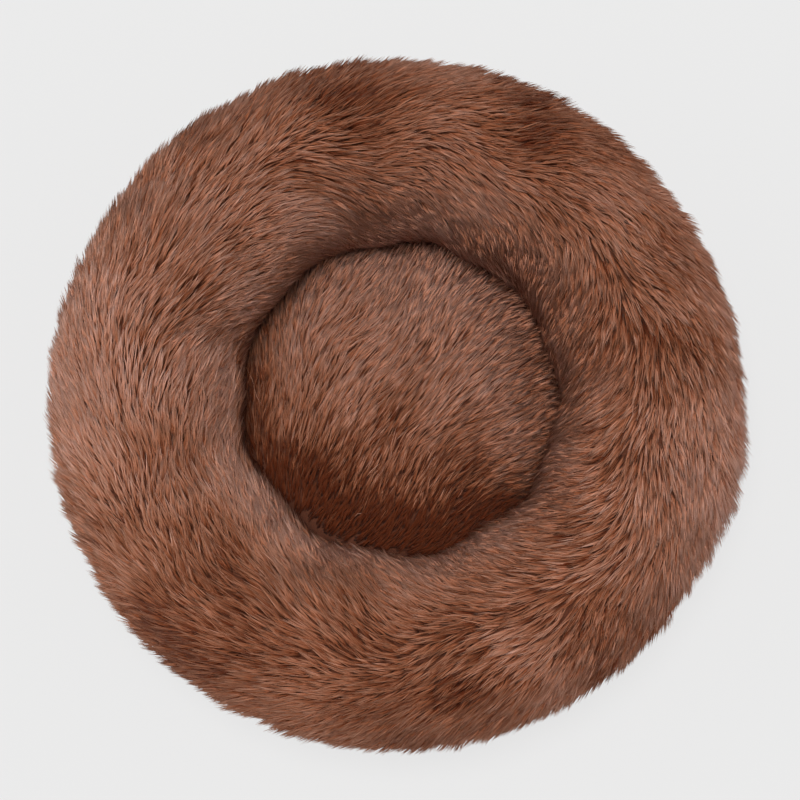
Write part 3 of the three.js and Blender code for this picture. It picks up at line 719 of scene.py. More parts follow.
# Locks on the pad, which lie one way that turns slowly across it
def growPad(pile, track):
    random = np.random.default_rng(pile["seed"])
    reach = track["length"]
    rows = np.arange(pile["pitch"] / 2, reach - pile["rimEnd"], pile["pitch"])
    angle, place = sowRows(rows, rows, pile["pitch"], random)
    # They lean away from one side of the seam, which stays bare
    kept = place < reach - pile["rimBare"] * shareTowards(angle, pile["bareTowards"]) ** 2
    angle, place = angle[kept], place[kept]
    x, y = place * np.cos(angle), place * np.sin(angle)
    count = len(x)
    feet = padAt(track, x, y, 0.0)
    way = addWaves(pile["way"] + pile["wayTurn"] * x / 100, pile["wayWaves"], 12, feet)
    way = way + random.normal(0, pile["leanChance"], count)
    stand = standing(pile, feet, 16)
    # Painted shade under the ring's overhanging lip
    shade = shareTowards(angle, pile["shadeTowards"]) ** 2
    shade = shade * (1 - smoothStep(pile["shadeFrom"], pile["shadeReach"], reach - place))
    # and painted shade on one side where it turns down into the seam
    rim = bell(angle, pile["rimTowards"], pile["rimSide"])
    rim = rim * (1 - smoothStep(pile["rimReach"] / 2, pile["rimReach"], reach - place))
    length = pile["length"] * random.uniform(0.85, 1.2, count) * (1 - 0.2 * stand)
    drawn = drawLocks(pile, random, count)
    # Random patches and the listed spots of painted light and shade
    tone = 0.5 + pile["patchTone"] * makeWaves(15, 60)(feet) + shading(pile, feet)
    tone = tone + (1 - 0.6 * shade) * drawn["tone"]
    # Painted light: lighter towards the lit side, and lifted over the whole pad
    tone = tone + pile["litSideTone"] * cosFrom(angle, pile["litTowards"]) * place / 100 + pile["paintedLightLift"]
    # Painted shade in the partings, under the lip and at the rim
    tone = tone - 0.3 * stand - pile["shadeTone"] * shade - pile["rimShade"] * rim * (1 - shade)
    locks = {
        "angle": x, "place": y, "lean": np.radians(way), "length": length,
        "height": pile["height"] * drawn["height"] * (1 + 0.12 * makeWaves(14, 40)(feet) + 0.2 * stand),
        "lift": drawn["lift"] * pile["lift"], "bend": drawn["bend"],
        "closing": np.clip(pile["closing"] + 0.2 * stand + drawn["closing"], 0, 0.95),
        "gathered": pile["tufting"] * gatherTufts(-x, y, np.radians(-way), pile["tuft"])[0], "tone": tone,
    }
    strands = strandsOfLocks(pile, locks, random)
    forward, sideways, height, way = strandSteps(strands)
    x, y = strands["angle"], strands["place"]
    pathX, pathY = steer(x, y, way, forward, sideways)
    held = np.minimum(1, (reach - pile["rimHold"]) / np.maximum(np.hypot(pathX, pathY), 1))
    paths = padAt(track, pathX * held, pathY * held, height)
    print("pad pile:", count, "locks,", len(paths), "strands")
    return strandMesh("pad_pile", paths, facingWay(padAt, track, x, y), strands)


# A few pale fibres that lie loose on the pad: x, y, way in degrees, length and bow
strayShape = {
    "fibres": [[51, -62, -36, 8, 0.8], [44, -69, 66, 10, -1.2], [-111, 14, -72, 22, 1.5],
               [-105, 2, -68, 18, -1.0], [-30, -88, 20, 14, 3.0], [22, -40, 118, 9, 1.0]],
    "height": 6.5, "droop": 3, "thickness": 0.34, "tone": 0.97,
}


def layStrays(shape, track):
    x, y, way, length, bow = np.array(shape["fibres"], float).T
    step = np.array([-0.5, 0.0, 0.5])
    sideways = bow[:, None] * np.array([0.0, 1.0, 0.0])
    pathX, pathY = steer(x, y, np.radians(way)[:, None], length[:, None] * step, sideways)
    paths = padAt(track, pathX, pathY, shape["height"] - shape["droop"] * (step + 0.5) ** 2)
    even = np.ones(len(x))
    strands = {"radius": shape["thickness"] * even, "tone": shape["tone"] * even, "twist": 0 * even}
    return strandMesh("pad_stray_fibres", paths, facingWay(padAt, track, x, y), strands)


def colour(red, green, blue):
    return (red, green, blue, 1.0)


def grey(level):
    return colour(level, level, level)


def newMaterial(name, **values):
    material = bpy.data.materials.new(name)
    material.use_nodes = True
    shader = material.node_tree.nodes["Principled BSDF"]
    for socket, value in values.items():
        shader.inputs[socket.replace("_", " ")].default_value = value
    return material, material.node_tree, shader


# A node with its settings, and with a value or a link for each of the inputs that are given
def addNode(tree, kind, inputs, **settings):
    node = tree.nodes.new(kind)
    for key, value in settings.items():
        setattr(node, key, value)
    for key, value in inputs.items():
        if isinstance(value, bpy.types.NodeSocket):
            tree.links.new(value, node.inputs[key])
        else:
            node.inputs[key].default_value = value
    return node


def addRamp(tree, source, stops):
    ramp = addNode(tree, "ShaderNodeValToRGB", {"Fac": source})
    while len(ramp.color_ramp.elements) < len(stops):
        ramp.color_ramp.elements.new(0.5)
    for element, (place, value) in zip(ramp.color_ramp.elements, stops):
        element.position = place
        element.color = value
    return ramp.outputs["Color"]


# Of a colour mix, inputs 0, 6 and 7 are the factor and the two colours, and output 2 is the result
def addMix(tree, first, second, factor=1.0, blend="MULTIPLY"):
    inputs = {0: factor, 6: first, 7: second}
    return addNode(tree, "ShaderNodeMix", inputs, data_type="RGBA", blend_type=blend).outputs[2]


def addMath(tree, operation, *values, clamp=False):
    inputs = dict(enumerate(values))
    return addNode(tree, "ShaderNodeMath", inputs, operation=operation, use_clamp=clamp).outputs[0]


# Noise over the object's own space, with its scale per metre
def addNoise(tree, scale, detail, roughness=0.5):
    place = addNode(tree, "ShaderNodeTexCoord", {}).outputs["Object"]
    inputs = {"Vector": place, "Scale": scale, "Detail": detail, "Roughness": roughness}
    return addNode(tree, "ShaderNodeTexNoise", inputs).outputs["Fac"]


def addBump(tree, shader, height, distance):
    lift = addNode(tree, "ShaderNodeBump", {"Height": height, "Distance": distance})
    tree.links.new(lift.outputs["Normal"], shader.inputs["Normal"])


pileColour = {
    "root": colour(0.34, 0.105, 0.043), "middle": colour(0.47, 0.184, 0.099),
    "tip": colour(0.75, 0.395, 0.268), "deep": colour(0.27, 0.122, 0.056), "dark": colour(0.70, 0.565, 0.445),
    "plain": grey(1), "light": colour(1.42, 1.75, 2.15),
}


# Each strand: root dark, painted shade deep in the pile, then its body, then a paler tip, times its own tone
def makePileMaterial():
    material, tree, shader = newMaterial(
        "long_plush", Roughness=0.6, Sheen_Weight=0.06, Sheen_Roughness=0.5,
        Sheen_Tint=colour(1.0, 0.8, 0.7), Specular_IOR_Level=0.08,
    )
    place = addNode(tree, "ShaderNodeUVMap", {}, uv_map="OFBake")
    split = addNode(tree, "ShaderNodeSeparateXYZ", {"Vector": place.outputs["UV"]})
    along = addRamp(tree, split.outputs["Y"], [
        (0.0, pileColour["root"]), (0.5, pileColour["middle"]), (1.0, pileColour["tip"]),
    ])
    # The tone stops also carry the pile's painted light and shade
    tone = addRamp(tree, split.outputs["X"], [
        (0.0, pileColour["deep"]), (0.25, pileColour["dark"]),
        (0.5, pileColour["plain"]), (1.0, pileColour["light"]),
    ])
    tree.links.new(addMix(tree, along, tone), shader.inputs["Base Color"])
    return material


# Weave: two crossed bands give over and under, with a slow mottle. Height for bump and a mask for colour.
def makeWeaveGroup():
    group = bpy.data.node_groups.new("woven_cloth", "ShaderNodeTree")
    group.interface.new_socket("Threads", in_out="INPUT", socket_type="NodeSocketFloat")
    group.interface.new_socket("Thread Colour", in_out="INPUT", socket_type="NodeSocketColor")
    group.interface.new_socket("Gap Colour", in_out="INPUT", socket_type="NodeSocketColor")
    group.interface.new_socket("Colour", in_out="OUTPUT", socket_type="NodeSocketColor")
    group.interface.new_socket("Height", in_out="OUTPUT", socket_type="NodeSocketFloat")
    entry, leave = group.nodes.new("NodeGroupInput"), group.nodes.new("NodeGroupOutput")
    place = addNode(group, "ShaderNodeTexCoord", {}).outputs["Object"]
    inputs = {"Vector": place, "Scale": entry.outputs["Threads"], "Distortion": 2.5, "Detail": 1.0}
    bands = [
        addNode(group, "ShaderNodeTexWave", inputs, wave_type="BANDS", bands_direction=direction,
                wave_profile="SIN").outputs["Fac"]
        for direction in ("X", "Y")
    ]
    height = addMath(group, "MULTIPLY", *bands)
    base = addMix(group, entry.outputs["Gap Colour"], entry.outputs["Thread Colour"], height, "MIX")
    shade = addRamp(group, addNoise(group, 35.0, 3.0), [(0.3, grey(0.82)), (0.7, grey(1.1))])
    group.links.new(addMix(group, base, shade), leave.inputs["Colour"])
    group.links.new(height, leave.inputs["Height"])
    return group


weaveGroup = makeWeaveGroup()


# Cloth of a given thread count per metre, two colours, a roughness and a bump in metres
def makeCloth(name, threads, thread, gap, roughness, bump):
    material, tree, shader = newMaterial(name, Roughness=roughness)
    inputs = {"Threads": threads, "Thread Colour": colour(*thread), "Gap Colour": colour(*gap)}
    weave = addNode(tree, "ShaderNodeGroup", inputs, node_tree=weaveGroup)
    tree.links.new(weave.outputs["Colour"], shader.inputs["Base Color"])
    addBump(tree, shader, weave.outputs["Height"], bump)
    return material


# Felt, blown fibre, rubber or moulded plastic: fine noise between two colours, also as a bump in metres
def makeFelt(name, pale, dark, scale, roughness, bump):
    material, tree, shader = newMaterial(name, Roughness=roughness, Sheen_Weight=0.2)
    noise = addNoise(tree, scale, 8.0, 0.65)
    stops = [(0.3, colour(*dark)), (0.7, colour(*pale))]
    tree.links.new(addRamp(tree, noise, stops), shader.inputs["Base Color"])
    addBump(tree, shader, noise, bump)
    return material


# Lacquered metal: brown lacquer that has worn to brass in spots, rougher where the wear's noise is high
def makeMetal(name):
    material, tree, shader = newMaterial(name, Metallic=0.85, Coat_Weight=0.4, Coat_Roughness=0.25)
    wear = addNoise(tree, 420.0, 5.0)
    lacquer = addRamp(tree, wear, [
        (0.0, colour(0.10, 0.055, 0.035)), (0.62, colour(0.13, 0.075, 0.048)),
        (0.8, colour(0.30, 0.19, 0.11)),
    ])
    tree.links.new(lacquer, shader.inputs["Base Color"])
    rough = addNode(tree, "ShaderNodeMapRange", {"Value": wear, "To Min": 0.28, "To Max": 0.5})
    tree.links.new(rough.outputs["Result"], shader.inputs["Roughness"])
    return material


pileMaterial = makePileMaterial()
backingMaterial, linerMaterial, fibreMaterial, rubberMaterial, toothMaterial = (makeFelt(*felt) for felt in (
    ("plush_backing", (0.20, 0.055, 0.022), (0.11, 0.030, 0.012), 700, 0.95, 0.0006),
    ("non_woven_liner", (0.80, 0.78, 0.74), (0.66, 0.64, 0.60), 500, 0.9, 0.0003),
    ("blown_fibre", (0.93, 0.92, 0.90), (0.78, 0.77, 0.75), 120, 1.0, 0.003),
    ("rubber_stud", (0.05, 0.028, 0.022), (0.035, 0.02, 0.016), 900, 0.6, 0.0001),
    ("moulded_tooth", (0.11, 0.052, 0.036), (0.08, 0.036, 0.025), 600, 0.4, 0.00005),
))
baseMaterial, tapeMaterial, threadMaterial = (makeCloth(*cloth) for cloth in (
    ("coated_base_cloth", 700, (0.074, 0.034, 0.024), (0.066, 0.030, 0.021), 0.55, 0.0001),
    ("woven_tape", 900, (0.12, 0.055, 0.038), (0.05, 0.022, 0.015), 0.8, 0.0002),
    ("sewing_thread", 2200, (0.16, 0.075, 0.05), (0.08, 0.035, 0.024), 0.6, 0.0001),
))
metalMaterial = makeMetal("lacquered_metal")
print("materials made")


def finishPiece(piece, material, slotName, *nodes):
    piece.data.materials.append(material)
    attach(piece, "bed")
    if nodes:
        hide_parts(*nodes)
    return piece


coverShape = {"inset": 3.3, "backing": 0.9, "pitch": 5.5, "soft": 8, "windowReach": 44}


# Between the window's ends what lies from low to high is drawn together, so that its edge meets the window
def openWindow(points, low, high, edge):
    angle = np.degrees(np.arctan2(points[..., 1], points[..., 0])) % 360
    near = np.hypot(points[..., 0], points[..., 1]) > form["tapeInner"] - 2
    inside = (angle > form["windowFrom"]) & (angle < form["windowTo"]) & near
    z = points[..., 2]
    share = np.clip((z - low) / (high - low), 0, 1)
    moved = edge + share * (high - edge) if edge > low else low + share * (edge - low)
    opened = points.copy()
    opened[..., 2] = np.where(inside & (z >= low) & (z <= high), moved, z)
    return opened


def warpCover(points):
    return warpRing(openWindow(points, form["hemFoot"], coverShape["windowReach"], windowTop))


# How far each point of a skin has swollen, as a vector along the way that the track faces there
def swellGrid(track, angles, places):
    angle, place = gridPairs(np.radians(angles), places)
    out, up = onTrack(track, place, "out"), onTrack(track, place, "up")
    way = np.stack([out * np.cos(angle), out * np.sin(angle), up], -1)
    return way * swollen(track, angle, place)[:, None]


# The plush's own cloth: hem, outer side, crest and inner side, then the allowance in the inner seam
def makeBolsterSkin(shape):
    outer = resample(ringFace(shape["inset"]), shape["pitch"], shape["soft"])
    inner = resample(ringFace(shape["inset"] + shape["backing"]), shape["pitch"], shape["soft"])[::-1]
    foot, far = form["allowanceBottom"], seamRadius + form["allowance"]
    allowance = np.array([[seamRadius, rimHeight], [seamRadius, foot], [far, foot], [far, seamTop - 1]])
    outline = np.concatenate([outer, allowance, inner])
    whole = ringTrack["length"]
    places = [np.linspace(0, whole, len(outer)), np.zeros(len(allowance)), np.linspace(whole, 0, len(inner))]
    swell = swellGrid(ringTrack, seamTurns, np.concatenate(places))
    return revolve("bolster_plush", outline, seamTurns, lambda points: warpCover(points) + swell)


def makePadSkin(shape):
    rim = padRadius - form["allowance"]
    foot = form["allowanceBottom"]
    outer = crownArc(padRadius, shape["inset"], 36)
    inner = crownArc(rim, shape["inset"] + shape["backing"], 36)[::-1]
    outline = np.concatenate([[[padRadius, foot]], outer, inner, [[rim, foot]]])
    places = padTrack["length"] - outer[:, 0]
    swell = swellGrid(padTrack, evenTurn, np.concatenate([[0], places, places[::-1], [0]]))
    # On the axis it may only rise
    swell.reshape(len(evenTurn), -1, 3)[:, outline[:, 0] == 0, :2] = 0
    return revolve("pad_plush", outline, evenTurn, lambda points: shiftNest(points) + swell)


bolsterPlush = finishPiece(makeBolsterSkin(coverShape), backingMaterial, "plush", "bolster_cover")
padPlush = finishPiece(makePadSkin(coverShape), backingMaterial, "plush", "pad_cover")
print("plush skins made")

for piece in [*growRing(ringPile, ringTrack), growPad(padPile, padTrack), layStrays(strayShape, padTrack)]:
    finishPiece(piece, pileMaterial, "plush")
print("pile grown")


bagShape = {
    "pitch": 6.0, "soft": 4, "slit": 3.0, "slitShare": 0.14, "padSlitRadius": 15.0, "padMiddle": 40,
    "floorPoints": 25, "wrinkle": 0.28, "lump": 5.0,
}


# Section of the bolster's bag or stuffing, a depth under the plush's face
def bagOutline(depth):
    bottom = form["bagFloor"] + depth - form["plush"]
    foot = form["allowanceBottom"] + form["plush"] * 2
    innerFoot = seamRadius + form["allowance"] + form["binding"] * 3 + depth
    outerFoot = form["tapeInner"] - form["plate"] * 3 - depth
    quarter = foot / 4
    bend = np.radians(np.linspace(-80, -10, 6))
    away, rise = quarter * (1 - np.cos(bend)), bottom + quarter * (1 + np.sin(bend))
    return np.concatenate([
        [[crestRadius, bottom], [outerFoot - quarter, bottom]], pathOf(outerFoot - away, rise),
        [[outerFoot, bottom + quarter], [outerFoot, form["hemTop"] + depth]],
        sectionArc(form["outerSeam"], form["innerSeam"], 90, depth),
        [[innerFoot, foot], [innerFoot, bottom + quarter]], pathOf(innerFoot + away, rise)[::-1],
        [[innerFoot + quarter, bottom], [crestRadius, bottom]],
    ])


# Half section of the pad's bag or stuffing, from the middle of its floor to the middle of its crown
def padOutline(shape, depth):
    radius = padRadius - form["allowance"] - form["binding"] - depth
    bottom = form["bagFloor"] + depth - form["plush"]
    floor = np.linspace(0, radius - depth, shape["floorPoints"])
    side = np.linspace(bottom + depth, rimHeight - depth, 7)[:-1]
    return np.concatenate([pathOf(floor, bottom), pathOf(radius, side), crownArc(radius, depth, 40)])


# A bag's cloth draws in at random by up to its wrinkle, towards the middle line of the ring or of the pad
def drawIn(points, middleRadius, middleHeight, amount, waves):
    radius = np.hypot(points[:, 0], points[:, 1])
    across, up = radius - middleRadius, points[:, 2] - middleHeight
    reach = np.maximum(np.hypot(across, up), 1e-6)
    depth = amount * (0.5 + 0.25 * np.clip(waves(points), -2, 2))
    nearer = 1 - depth * across / reach / np.maximum(radius, 1e-6)
    return np.stack([points[:, 0] * nearer, points[:, 1] * nearer, points[:, 2] - depth * up / reach], -1)


# The warps of what is drawn in, for the ring and for the pad
def drawnWarps(shape, amount, waves):
    return (lambda points: warpRing(drawIn(points, crestRadius, form["widestHeight"], amount, waves)),
            lambda points: shiftNest(drawIn(points, 0, shape["padMiddle"], amount, waves)))


# The two walls' outlines get the same count of points, and the slit's two edges stand a slit apart
def makeBags(shape):
    depth = form["plush"] + form["loose"]
    outer = resample(bagOutline(depth), shape["pitch"], shape["soft"])[:-1]
    inner = bagOutline(depth + form["liner"])
    along = lengthsAlong(inner)
    places = np.linspace(0, 1, len(outer) + 1)[:-1] * along[-1]
    inner = np.stack([np.interp(places, along, inner[:, k]) for k in range(2)], -1)
    padOuter, padInner = padOutline(shape, depth), padOutline(shape, depth + form["liner"])
    at = int(np.argmin(np.abs(padOuter[:shape["floorPoints"], 0] - shape["padSlitRadius"])))
    for walls, first, middle in (((outer, inner), 0, crestRadius),
                                 ((padOuter, padInner), at, shape["padSlitRadius"])):
        for wall in walls:
            wall[first, 0] = middle - shape["slit"] / 2
            wall[first + 1, 0] = middle + shape["slit"] / 2
    ringWarp, padWarp = drawnWarps(shape, shape["wrinkle"], makeWaves(31, 18))
    slitTurns = round(len(evenTurn) * shape["slitShare"])
    padSlitTurns = round(len(evenTurn) * padRadius * shape["slitShare"] * 2 / (turn * shape["padSlitRadius"]))
    return (bagShell("bolster_bag", outer, inner, evenTurn, 0, slitTurns, ringWarp),
            bagShell("pad_bag", padOuter, padInner, evenTurn, at, padSlitTurns, padWarp))


def makeStuffing(shape):
    depth = form["plush"] + form["loose"] * 2 + form["liner"]
    ringWarp, padWarp = drawnWarps(shape, shape["lump"], makeWaves(33, 34))
    outline = resample(bagOutline(depth), shape["pitch"], shape["soft"])[:-1]
    return (revolve("bolster_stuffing", outline, evenTurn, ringWarp),
            revolve("pad_stuffing", padOutline(shape, depth), evenTurn, padWarp))


for pieces, material, slotName, part in (
    (makeBags(bagShape), linerMaterial, "liner", "liner"),
    (makeStuffing(bagShape), fibreMaterial, "fibre_fill", "fill"),
):
    for piece, whole, fill in zip(pieces, ("bolster", "pad"), (0.8, 0.6)):
        finishPiece(piece, material, slotName, f"{whole}_{part}")
print("bags and stuffing made")


bindingShape = {"pitch": 0.7, "soft": 0.6, "stitch": 2.6, "gap": 1.4, "thread": 0.22, "stitchHeight": 31.0}


# Strip folded round the raw edges of the inner seam, sewn through both sides
def makeBinding(shape):
    outer = seamRadius + form["allowance"] + form["sewn"]
    inner = padRadius - form["allowance"] - form["sewn"]
    thick = form["binding"]
    bottom = form["allowanceBottom"] - form["sewn"]
    top = form["allowanceBottom"] + form["bindingWrap"]
    middle = (inner + outer) / 2
    loop = [
        [middle, bottom - thick], [outer + thick, bottom - thick], [outer + thick, top], [outer, top],
        [outer, bottom], [inner, bottom], [inner, top], [inner - thick, top], [inner - thick, bottom - thick],
        [middle, bottom - thick],
    ]
    strip = revolve("seam_binding", resample(loop, shape["pitch"], shape["soft"])[:-1], evenTurn, shiftNest)
    return strip, [
        stitchCircle(f"binding_stitches_{place}", shape, radius, shape["stitchHeight"], side, warp=shiftNest)
        for place, radius, side in (("outer", outer + thick, 1), ("inner", inner - thick, -1))
    ]


binding, bindingStitches = makeBinding(bindingShape)
finishPiece(binding, tapeMaterial, "tape", "inner_seam_binding")
for piece in bindingStitches:
    finishPiece(piece, threadMaterial, "tape")
print("binding made")


baseShape = {
    "floorPitch": 16.0, "cornerSteps": 7, "wallSteps": 8, "stitch": 3.0, "gap": 1.2, "thread": 0.28,
    "stitchHeight": 9.0, "studSides": 20, "boardEdge": 0.5,
}


# Between the turned corner's foot and its wall: an arc of a radius round the corner's middle
def cornerArc(radius, steps):
    angle = np.radians(np.linspace(0, 90, steps + 1))
    middle = form["wallOuter"] - form["corner"]
    return pathOf(middle + radius * np.sin(angle), wallFoot - radius * np.cos(angle))


# Tray of coated cloth: floor, turned corner and low wall, cut down to the zip's window at the back
def makeTray(shape):
    top = form["seamHeight"] - form["sewn"] / 2
    innerWall = form["wallOuter"] - form["baseCloth"]
    heights = np.linspace(wallFoot, top, shape["wallSteps"] + 1)[1:]
    floor = np.arange(0, innerWall - form["corner"], shape["floorPitch"])
    outline = np.concatenate([
        pathOf(floor, form["studHeight"]), cornerArc(form["corner"], shape["cornerSteps"]),
        pathOf(form["wallOuter"], heights), pathOf(innerWall, heights[::-1]),
        cornerArc(form["corner"] - form["baseCloth"], shape["cornerSteps"])[::-1],
        pathOf(floor[::-1], form["studHeight"] + form["baseCloth"]),
    ])
    cut = lambda points: openWindow(points, wallFoot, top, windowFoot)
    return revolve("base_tray", outline, seamTurns, cut)


# Rubber studs on a triangular pattern, each a low dome with a soft edge: [share of radius, share of height]
def makeStuds(shape):
    reach = form["wallOuter"] - form["corner"] - form["studRadius"] * 2
    rows, columns = gridPairs(np.arange(-4, 5), np.arange(-4, 5))
    x = columns * form["studPitch"] + np.abs(rows % 2) * form["studPitch"] / 2
    y = rows * form["studPitch"] * math.sin(math.pi / 3)
    places = np.stack([x, y, 0 * x], -1)[np.hypot(x, y) <= reach]
    profile = np.array([[0.45, 0.0], [0.7, 0.02], [0.8, 0.14], [0.86, 0.4], [0.97, 0.97], [1.0, 1.0]])
    radius, height = (profile * [form["studRadius"], form["studHeight"] + 0.05]).T[:, :, None]
    sides = shape["studSides"]
    angle = np.arange(sides) * turn / sides
    stud = np.broadcast_arrays(np.cos(angle) * radius, np.sin(angle) * radius, height)
    points = np.stack(stud, -1).reshape(-1, 3) + places[:, None]
    faces = repeatFaces(*tubeFaces(len(profile), sides, turned=True), len(profile) * sides, len(places))
    return makeMesh("base_studs", points.reshape(-1, 3) * mm, *faces)


# Stiff felt board on the tray's floor, its edge rounded
def makeBoard(shape):
    radius = form["wallOuter"] - form["corner"]
    low, high, soft = form["liningFloor"], form["liningFloor"] + form["lining"], shape["boardEdge"]
    floor = np.arange(0, radius - 2, shape["floorPitch"])
    edge = np.radians(np.linspace(-90, 90, 9))
    rim = pathOf(radius - soft + soft * np.cos(edge), (low + high) / 2 + (high - low) / 2 * np.sin(edge))
    outline = np.concatenate([pathOf(floor, low), rim, pathOf(floor[::-1], high)])
    return revolve("base_board", outline, evenTurn, lambda points: points)


finishPiece(makeTray(baseShape), baseMaterial, "base_cloth", "base_panel")
finishPiece(makeStuds(baseShape), rubberMaterial, "base_cloth")
finishPiece(makeBoard(baseShape), linerMaterial, "liner", "base_interlining")
baseStitches = stitchCircle("base_stitches", baseShape, form["wallOuter"], baseShape["stitchHeight"])
finishPiece(baseStitches, threadMaterial, "base_cloth")
print("base made")


tapeShape = {
    "thickness": 0.8, "edge": 0.3, "cord": 0.62, "step": 1.0, "stitch": 2.6, "gap": 1.4, "thread": 0.2,
    "toothDepth": 2.4, "toothWidth": 2.15, "toothNeck": 1.4, "toothReach": 1.5, "toothRoot": 1.1,
    "toothEdge": 0.3, "stopLength": 3, "zipFrom": 54, "zipTo": 126,
    "squatFrom": 120.8, "squatTo": 122.7, "squat": 0.32,
}


def sweepTape(shape, name, section, start, end):
    return sweepArc(name, section, np.linspace(start, end, int((end - start) / shape["step"])))


# Tape that joins base and plush wherever the zip doesn't, with its two rows of stitches on the inside
def makeSeamTape(shape):
    endGap = (form["tapeOverrun"] + form["tapeEndGap"]) * chainDegrees
    start, end = shape["zipTo"] + endGap, shape["zipFrom"] - endGap + 360
    low = wallFoot + form["sewn"]
    section = roundBar(chainRadius, shape["thickness"], low, form["seamHeight"] * 2 - low, shape["edge"])
    return sweepTape(shape, "seam_tape", section, start, end), [
        stitchCircle(f"seam_tape_stitches_{row}", shape, form["tapeInner"], height, -1, start + 1, end - 1)
        for row, height in (("lower", 10.0), ("upper", 22.0))
    ]


# Zip tape with a corded edge next to the chain
def makeZipTape(shape, name, side):
    overrun = form["tapeOverrun"] * chainDegrees
    edge = form["seamHeight"] + side * form["tapeSpacing"] / 2
    far = edge + side * (form["seamHeight"] - form["tapeSpacing"] / 2 - wallFoot - form["sewn"])
    section = roundBar(chainRadius, shape["thickness"], min(edge, far), max(edge, far), shape["edge"])
    angle = np.radians(np.linspace(-125, 125, 9) + (90 if side < 0 else 270))
    cord = shape["cord"]
    bead = pathOf(chainRadius + cord * np.cos(angle), edge - side * cord + cord * np.sin(angle))
    # The bead takes the place of the section's two corners at the chain
    section = np.concatenate([bead, section[8:]]) if side < 0 else np.concatenate([section[:8], bead])
    return sweepTape(shape, name, section, shape["zipFrom"] - overrun, shape["zipTo"] + overrun)


# Moulded teeth: a neck that widens to a rounded head, thick in the middle and chamfered on both faces.
# Those that the slider's wedge stands between when the zip is open are squat.
def makeTeeth(shape, name, side):
    neck, width = shape["toothNeck"] / 2, shape["toothWidth"] / 2
    root = -form["tapeSpacing"] / 2 - shape["toothRoot"]
    reach = shape["toothReach"]
    head = reach / 3
    right = np.array([
        [neck, root], [neck, root + 1.2], [neck * 0.82, -0.7], [width * 0.92, head - 0.35],
        [width, head + 0.1], [width * 0.8, reach - 0.25], [neck * 0.75, reach],
    ])
    left = right * [-1, 1]
    outline = np.concatenate([left[:1], right, left[:0:-1]])
    middle = outline.mean(0)
    half, soft = shape["toothDepth"] / 2, shape["toothEdge"]
    pinched = middle + (outline - middle) * 0.84
    layers = [(pinched, -half), (outline, -half + soft), (outline, half - soft), (pinched, half)]
    tooth = np.concatenate([np.column_stack([flat, np.full(len(flat), depth)]) for flat, depth in layers])
    rise = -side * tooth[:, 1]
    squatRise = -side * (root + (tooth[:, 1] - root) * shape["squat"])
    pitch = form["toothPitch"] * chainDegrees
    first = form["sliderAngle"] + (pitch / 2 if side > 0 else 0)
    last = shape["zipTo"] - (shape["stopLength"] * 1.5 + shape["toothWidth"]) * chainDegrees
    angle = np.arange(first, last, pitch)
    squat = (angle > shape["squatFrom"]) & (angle < shape["squatTo"])
    out, along = circleWays(np.radians(angle))
    middle = out * chainRadius + np.array([0, 0, form["seamHeight"]])
    points = middle[:, None] + along[:, None] * -side * tooth[:, :1] + out[:, None] * tooth[:, 2:]
    points[..., 2] += np.where(squat[:, None], squatRise, rise)
    faces = repeatFaces(*tubeFaces(len(layers), len(outline), turned=True), len(tooth), len(angle))
    return makeMesh(name, points.reshape(-1, 3) * mm, *faces, smooth=False)


seamTape, seamTapeStitches = makeSeamTape(tapeShape)
finishPiece(seamTape, tapeMaterial, "tape", "base_seam_tape")
for piece in seamTapeStitches:
    finishPiece(piece, threadMaterial, "tape")
for side, place in ((-1, "lower"), (1, "upper")):
    finishPiece(makeZipTape(tapeShape, f"zip_{place}_tape", side), tapeMaterial, "tape", f"zip_tape_{place}")
    finishPiece(makeTeeth(tapeShape, f"zip_{place}_teeth", side), toothMaterial, "tape")
print("tapes and teeth made")


metalShape = {"weld": 1e-6, "bevel": 0.00014, "bevelSteps": 2, "bevelAngle": 35}

# The metal parts keep the solids' shape, with their edges broken by a small bevel
for name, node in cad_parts.items():
    if name.startswith("zip_") and "tape" not in name:
        node.data.materials.clear()
        node.data.materials.append(metalMaterial)
        node.modifiers.new("weld", "WELD").merge_threshold = metalShape["weld"]
        bevel = node.modifiers.new("edges", "BEVEL")
        bevel.width = metalShape["bevel"]
        bevel.segments = metalShape["bevelSteps"]
        bevel.limit_method = "ANGLE"
        bevel.angle_limit = math.radians(metalShape["bevelAngle"])
print("metal finished")


studio = {
    "floor": 0.832, "floorSize": 6.0, "plainShare": 0.84,
    "dome": 0.135, "sides": 1.2, "left": 0.08, "back": 0.03,
    "sun": 1.8, "sunAngle": 24, "sunAzimuth": 140, "sunHeight": 85,
    "elevation": 83, "distance": 1.9, "lens": 116.4, "aim": (0.003, 0.001, 0.088),
}


# A surface of two shaders: the second is what the camera sees straight, in a polished face or through a
# clear one, by a share, and the first is all the rest
def mixSeen(tree, first, second, output, share=1.0):
    path = addNode(tree, "ShaderNodeLightPath", {})
    seen = path.outputs["Is Camera Ray"]
    for key in ("Is Glossy Ray", "Is Transmission Ray"):
        seen = addMath(tree, "ADD", seen, path.outputs[key], clamp=True)
    seen = addMath(tree, "MULTIPLY", seen, share)
    mix = addNode(tree, "ShaderNodeMixShader", {"Fac": seen, 1: first, 2: second})
    tree.links.new(mix.outputs["Shader"], tree.nodes[output].inputs["Surface"])


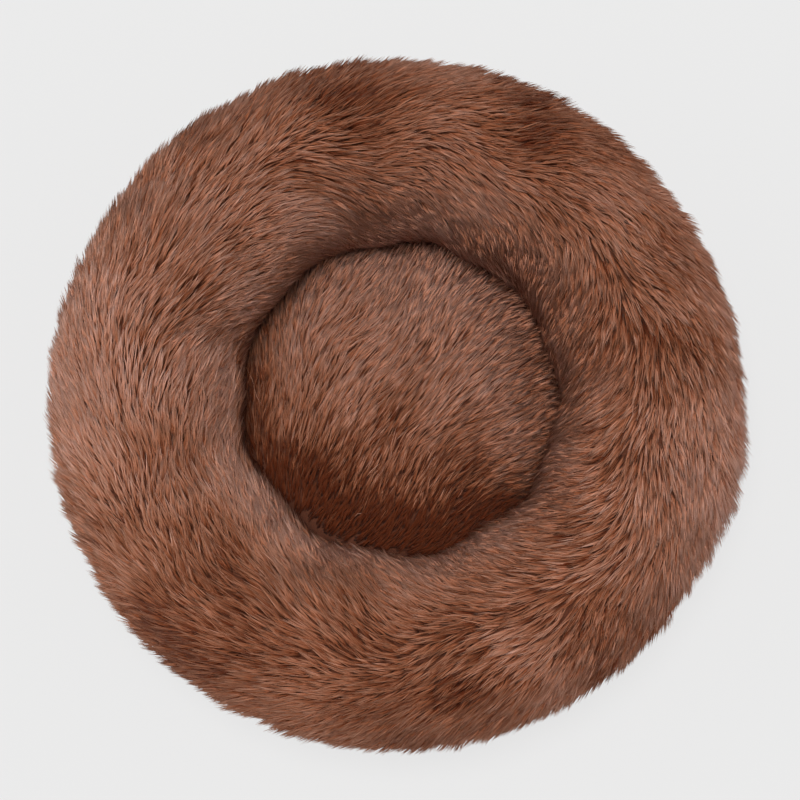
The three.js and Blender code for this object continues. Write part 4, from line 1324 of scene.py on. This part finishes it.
def makeFloor():
    half = studio["floorSize"] / 2
    corners = np.array([[-half, -half, 0], [half, -half, 0], [half, half, 0], [-half, half, 0]])
    floor = makeMesh("floor", corners, [0, 1, 2, 3], [0], smooth=False)
    paint = grey(studio["floor"])
    material, tree, shader = newMaterial(
        "floor_paint", Roughness=1.0, Base_Color=paint, Specular_IOR_Level=0.0,
    )
    # What the camera sees is partly plain colour, so the shadow stays but is pale
    plain = addNode(tree, "ShaderNodeEmission", {"Color": paint})
    mixSeen(tree, shader.outputs["BSDF"], plain.outputs["Emission"], "Material Output", studio["plainShare"])
    floor.data.materials.append(material)


# Unit way towards an azimuth and an elevation in degrees
def skyWay(azimuth, elevation):
    azimuth, elevation = math.radians(azimuth), math.radians(elevation)
    flat = math.cos(elevation)
    return Vector((math.cos(azimuth) * flat, math.sin(azimuth) * flat, math.sin(elevation)))


def makeLight():
    world = bpy.data.worlds.new("studio")
    bpy.context.scene.world = world
    world.use_nodes = True
    tree = world.node_tree
    # Soft boxes: dome + sides x x - left x + back y, with x and y of the way that is looked in
    place = addNode(tree, "ShaderNodeTexCoord", {})
    split = addNode(tree, "ShaderNodeSeparateXYZ", {"Vector": place.outputs["Generated"]})
    x, y = split.outputs["X"], split.outputs["Y"]
    level = addMath(tree, "MULTIPLY_ADD", addMath(tree, "MULTIPLY", x, x), studio["sides"], studio["dome"])
    level = addMath(tree, "MULTIPLY_ADD", x, -studio["left"], level)
    level = addMath(tree, "MULTIPLY_ADD", y, studio["back"], level)
    lit = tree.nodes["Background"]
    lit.inputs["Color"].default_value = grey(1)
    tree.links.new(level, lit.inputs["Strength"])
    seen = addNode(tree, "ShaderNodeBackground", {"Color": grey(studio["floor"])})
    mixSeen(tree, lit.outputs["Background"], seen.outputs["Background"], "World Output")
    lamp = bpy.data.lights.new("key", "SUN")
    lamp.energy = studio["sun"]
    lamp.angle = math.radians(studio["sunAngle"])
    way = skyWay(studio["sunAzimuth"], studio["sunHeight"])
    addObject("key", lamp).rotation_euler = way.to_track_quat("Z", "Y").to_euler()


def makeCamera():
    data = bpy.data.cameras.new("camera")
    data.lens = studio["lens"]
    data.sensor_width = 36
    data.clip_end = 50
    camera = addObject("camera", data)
    way = skyWay(-90, studio["elevation"])
    camera.location = Vector(studio["aim"]) + way * studio["distance"]
    camera.rotation_euler = way.to_track_quat("Z", "Y").to_euler()
    bpy.context.scene.camera = camera


makeFloor()
makeLight()
makeCamera()
bpy.context.scene.view_settings.view_transform = "Standard"
print("studio set")
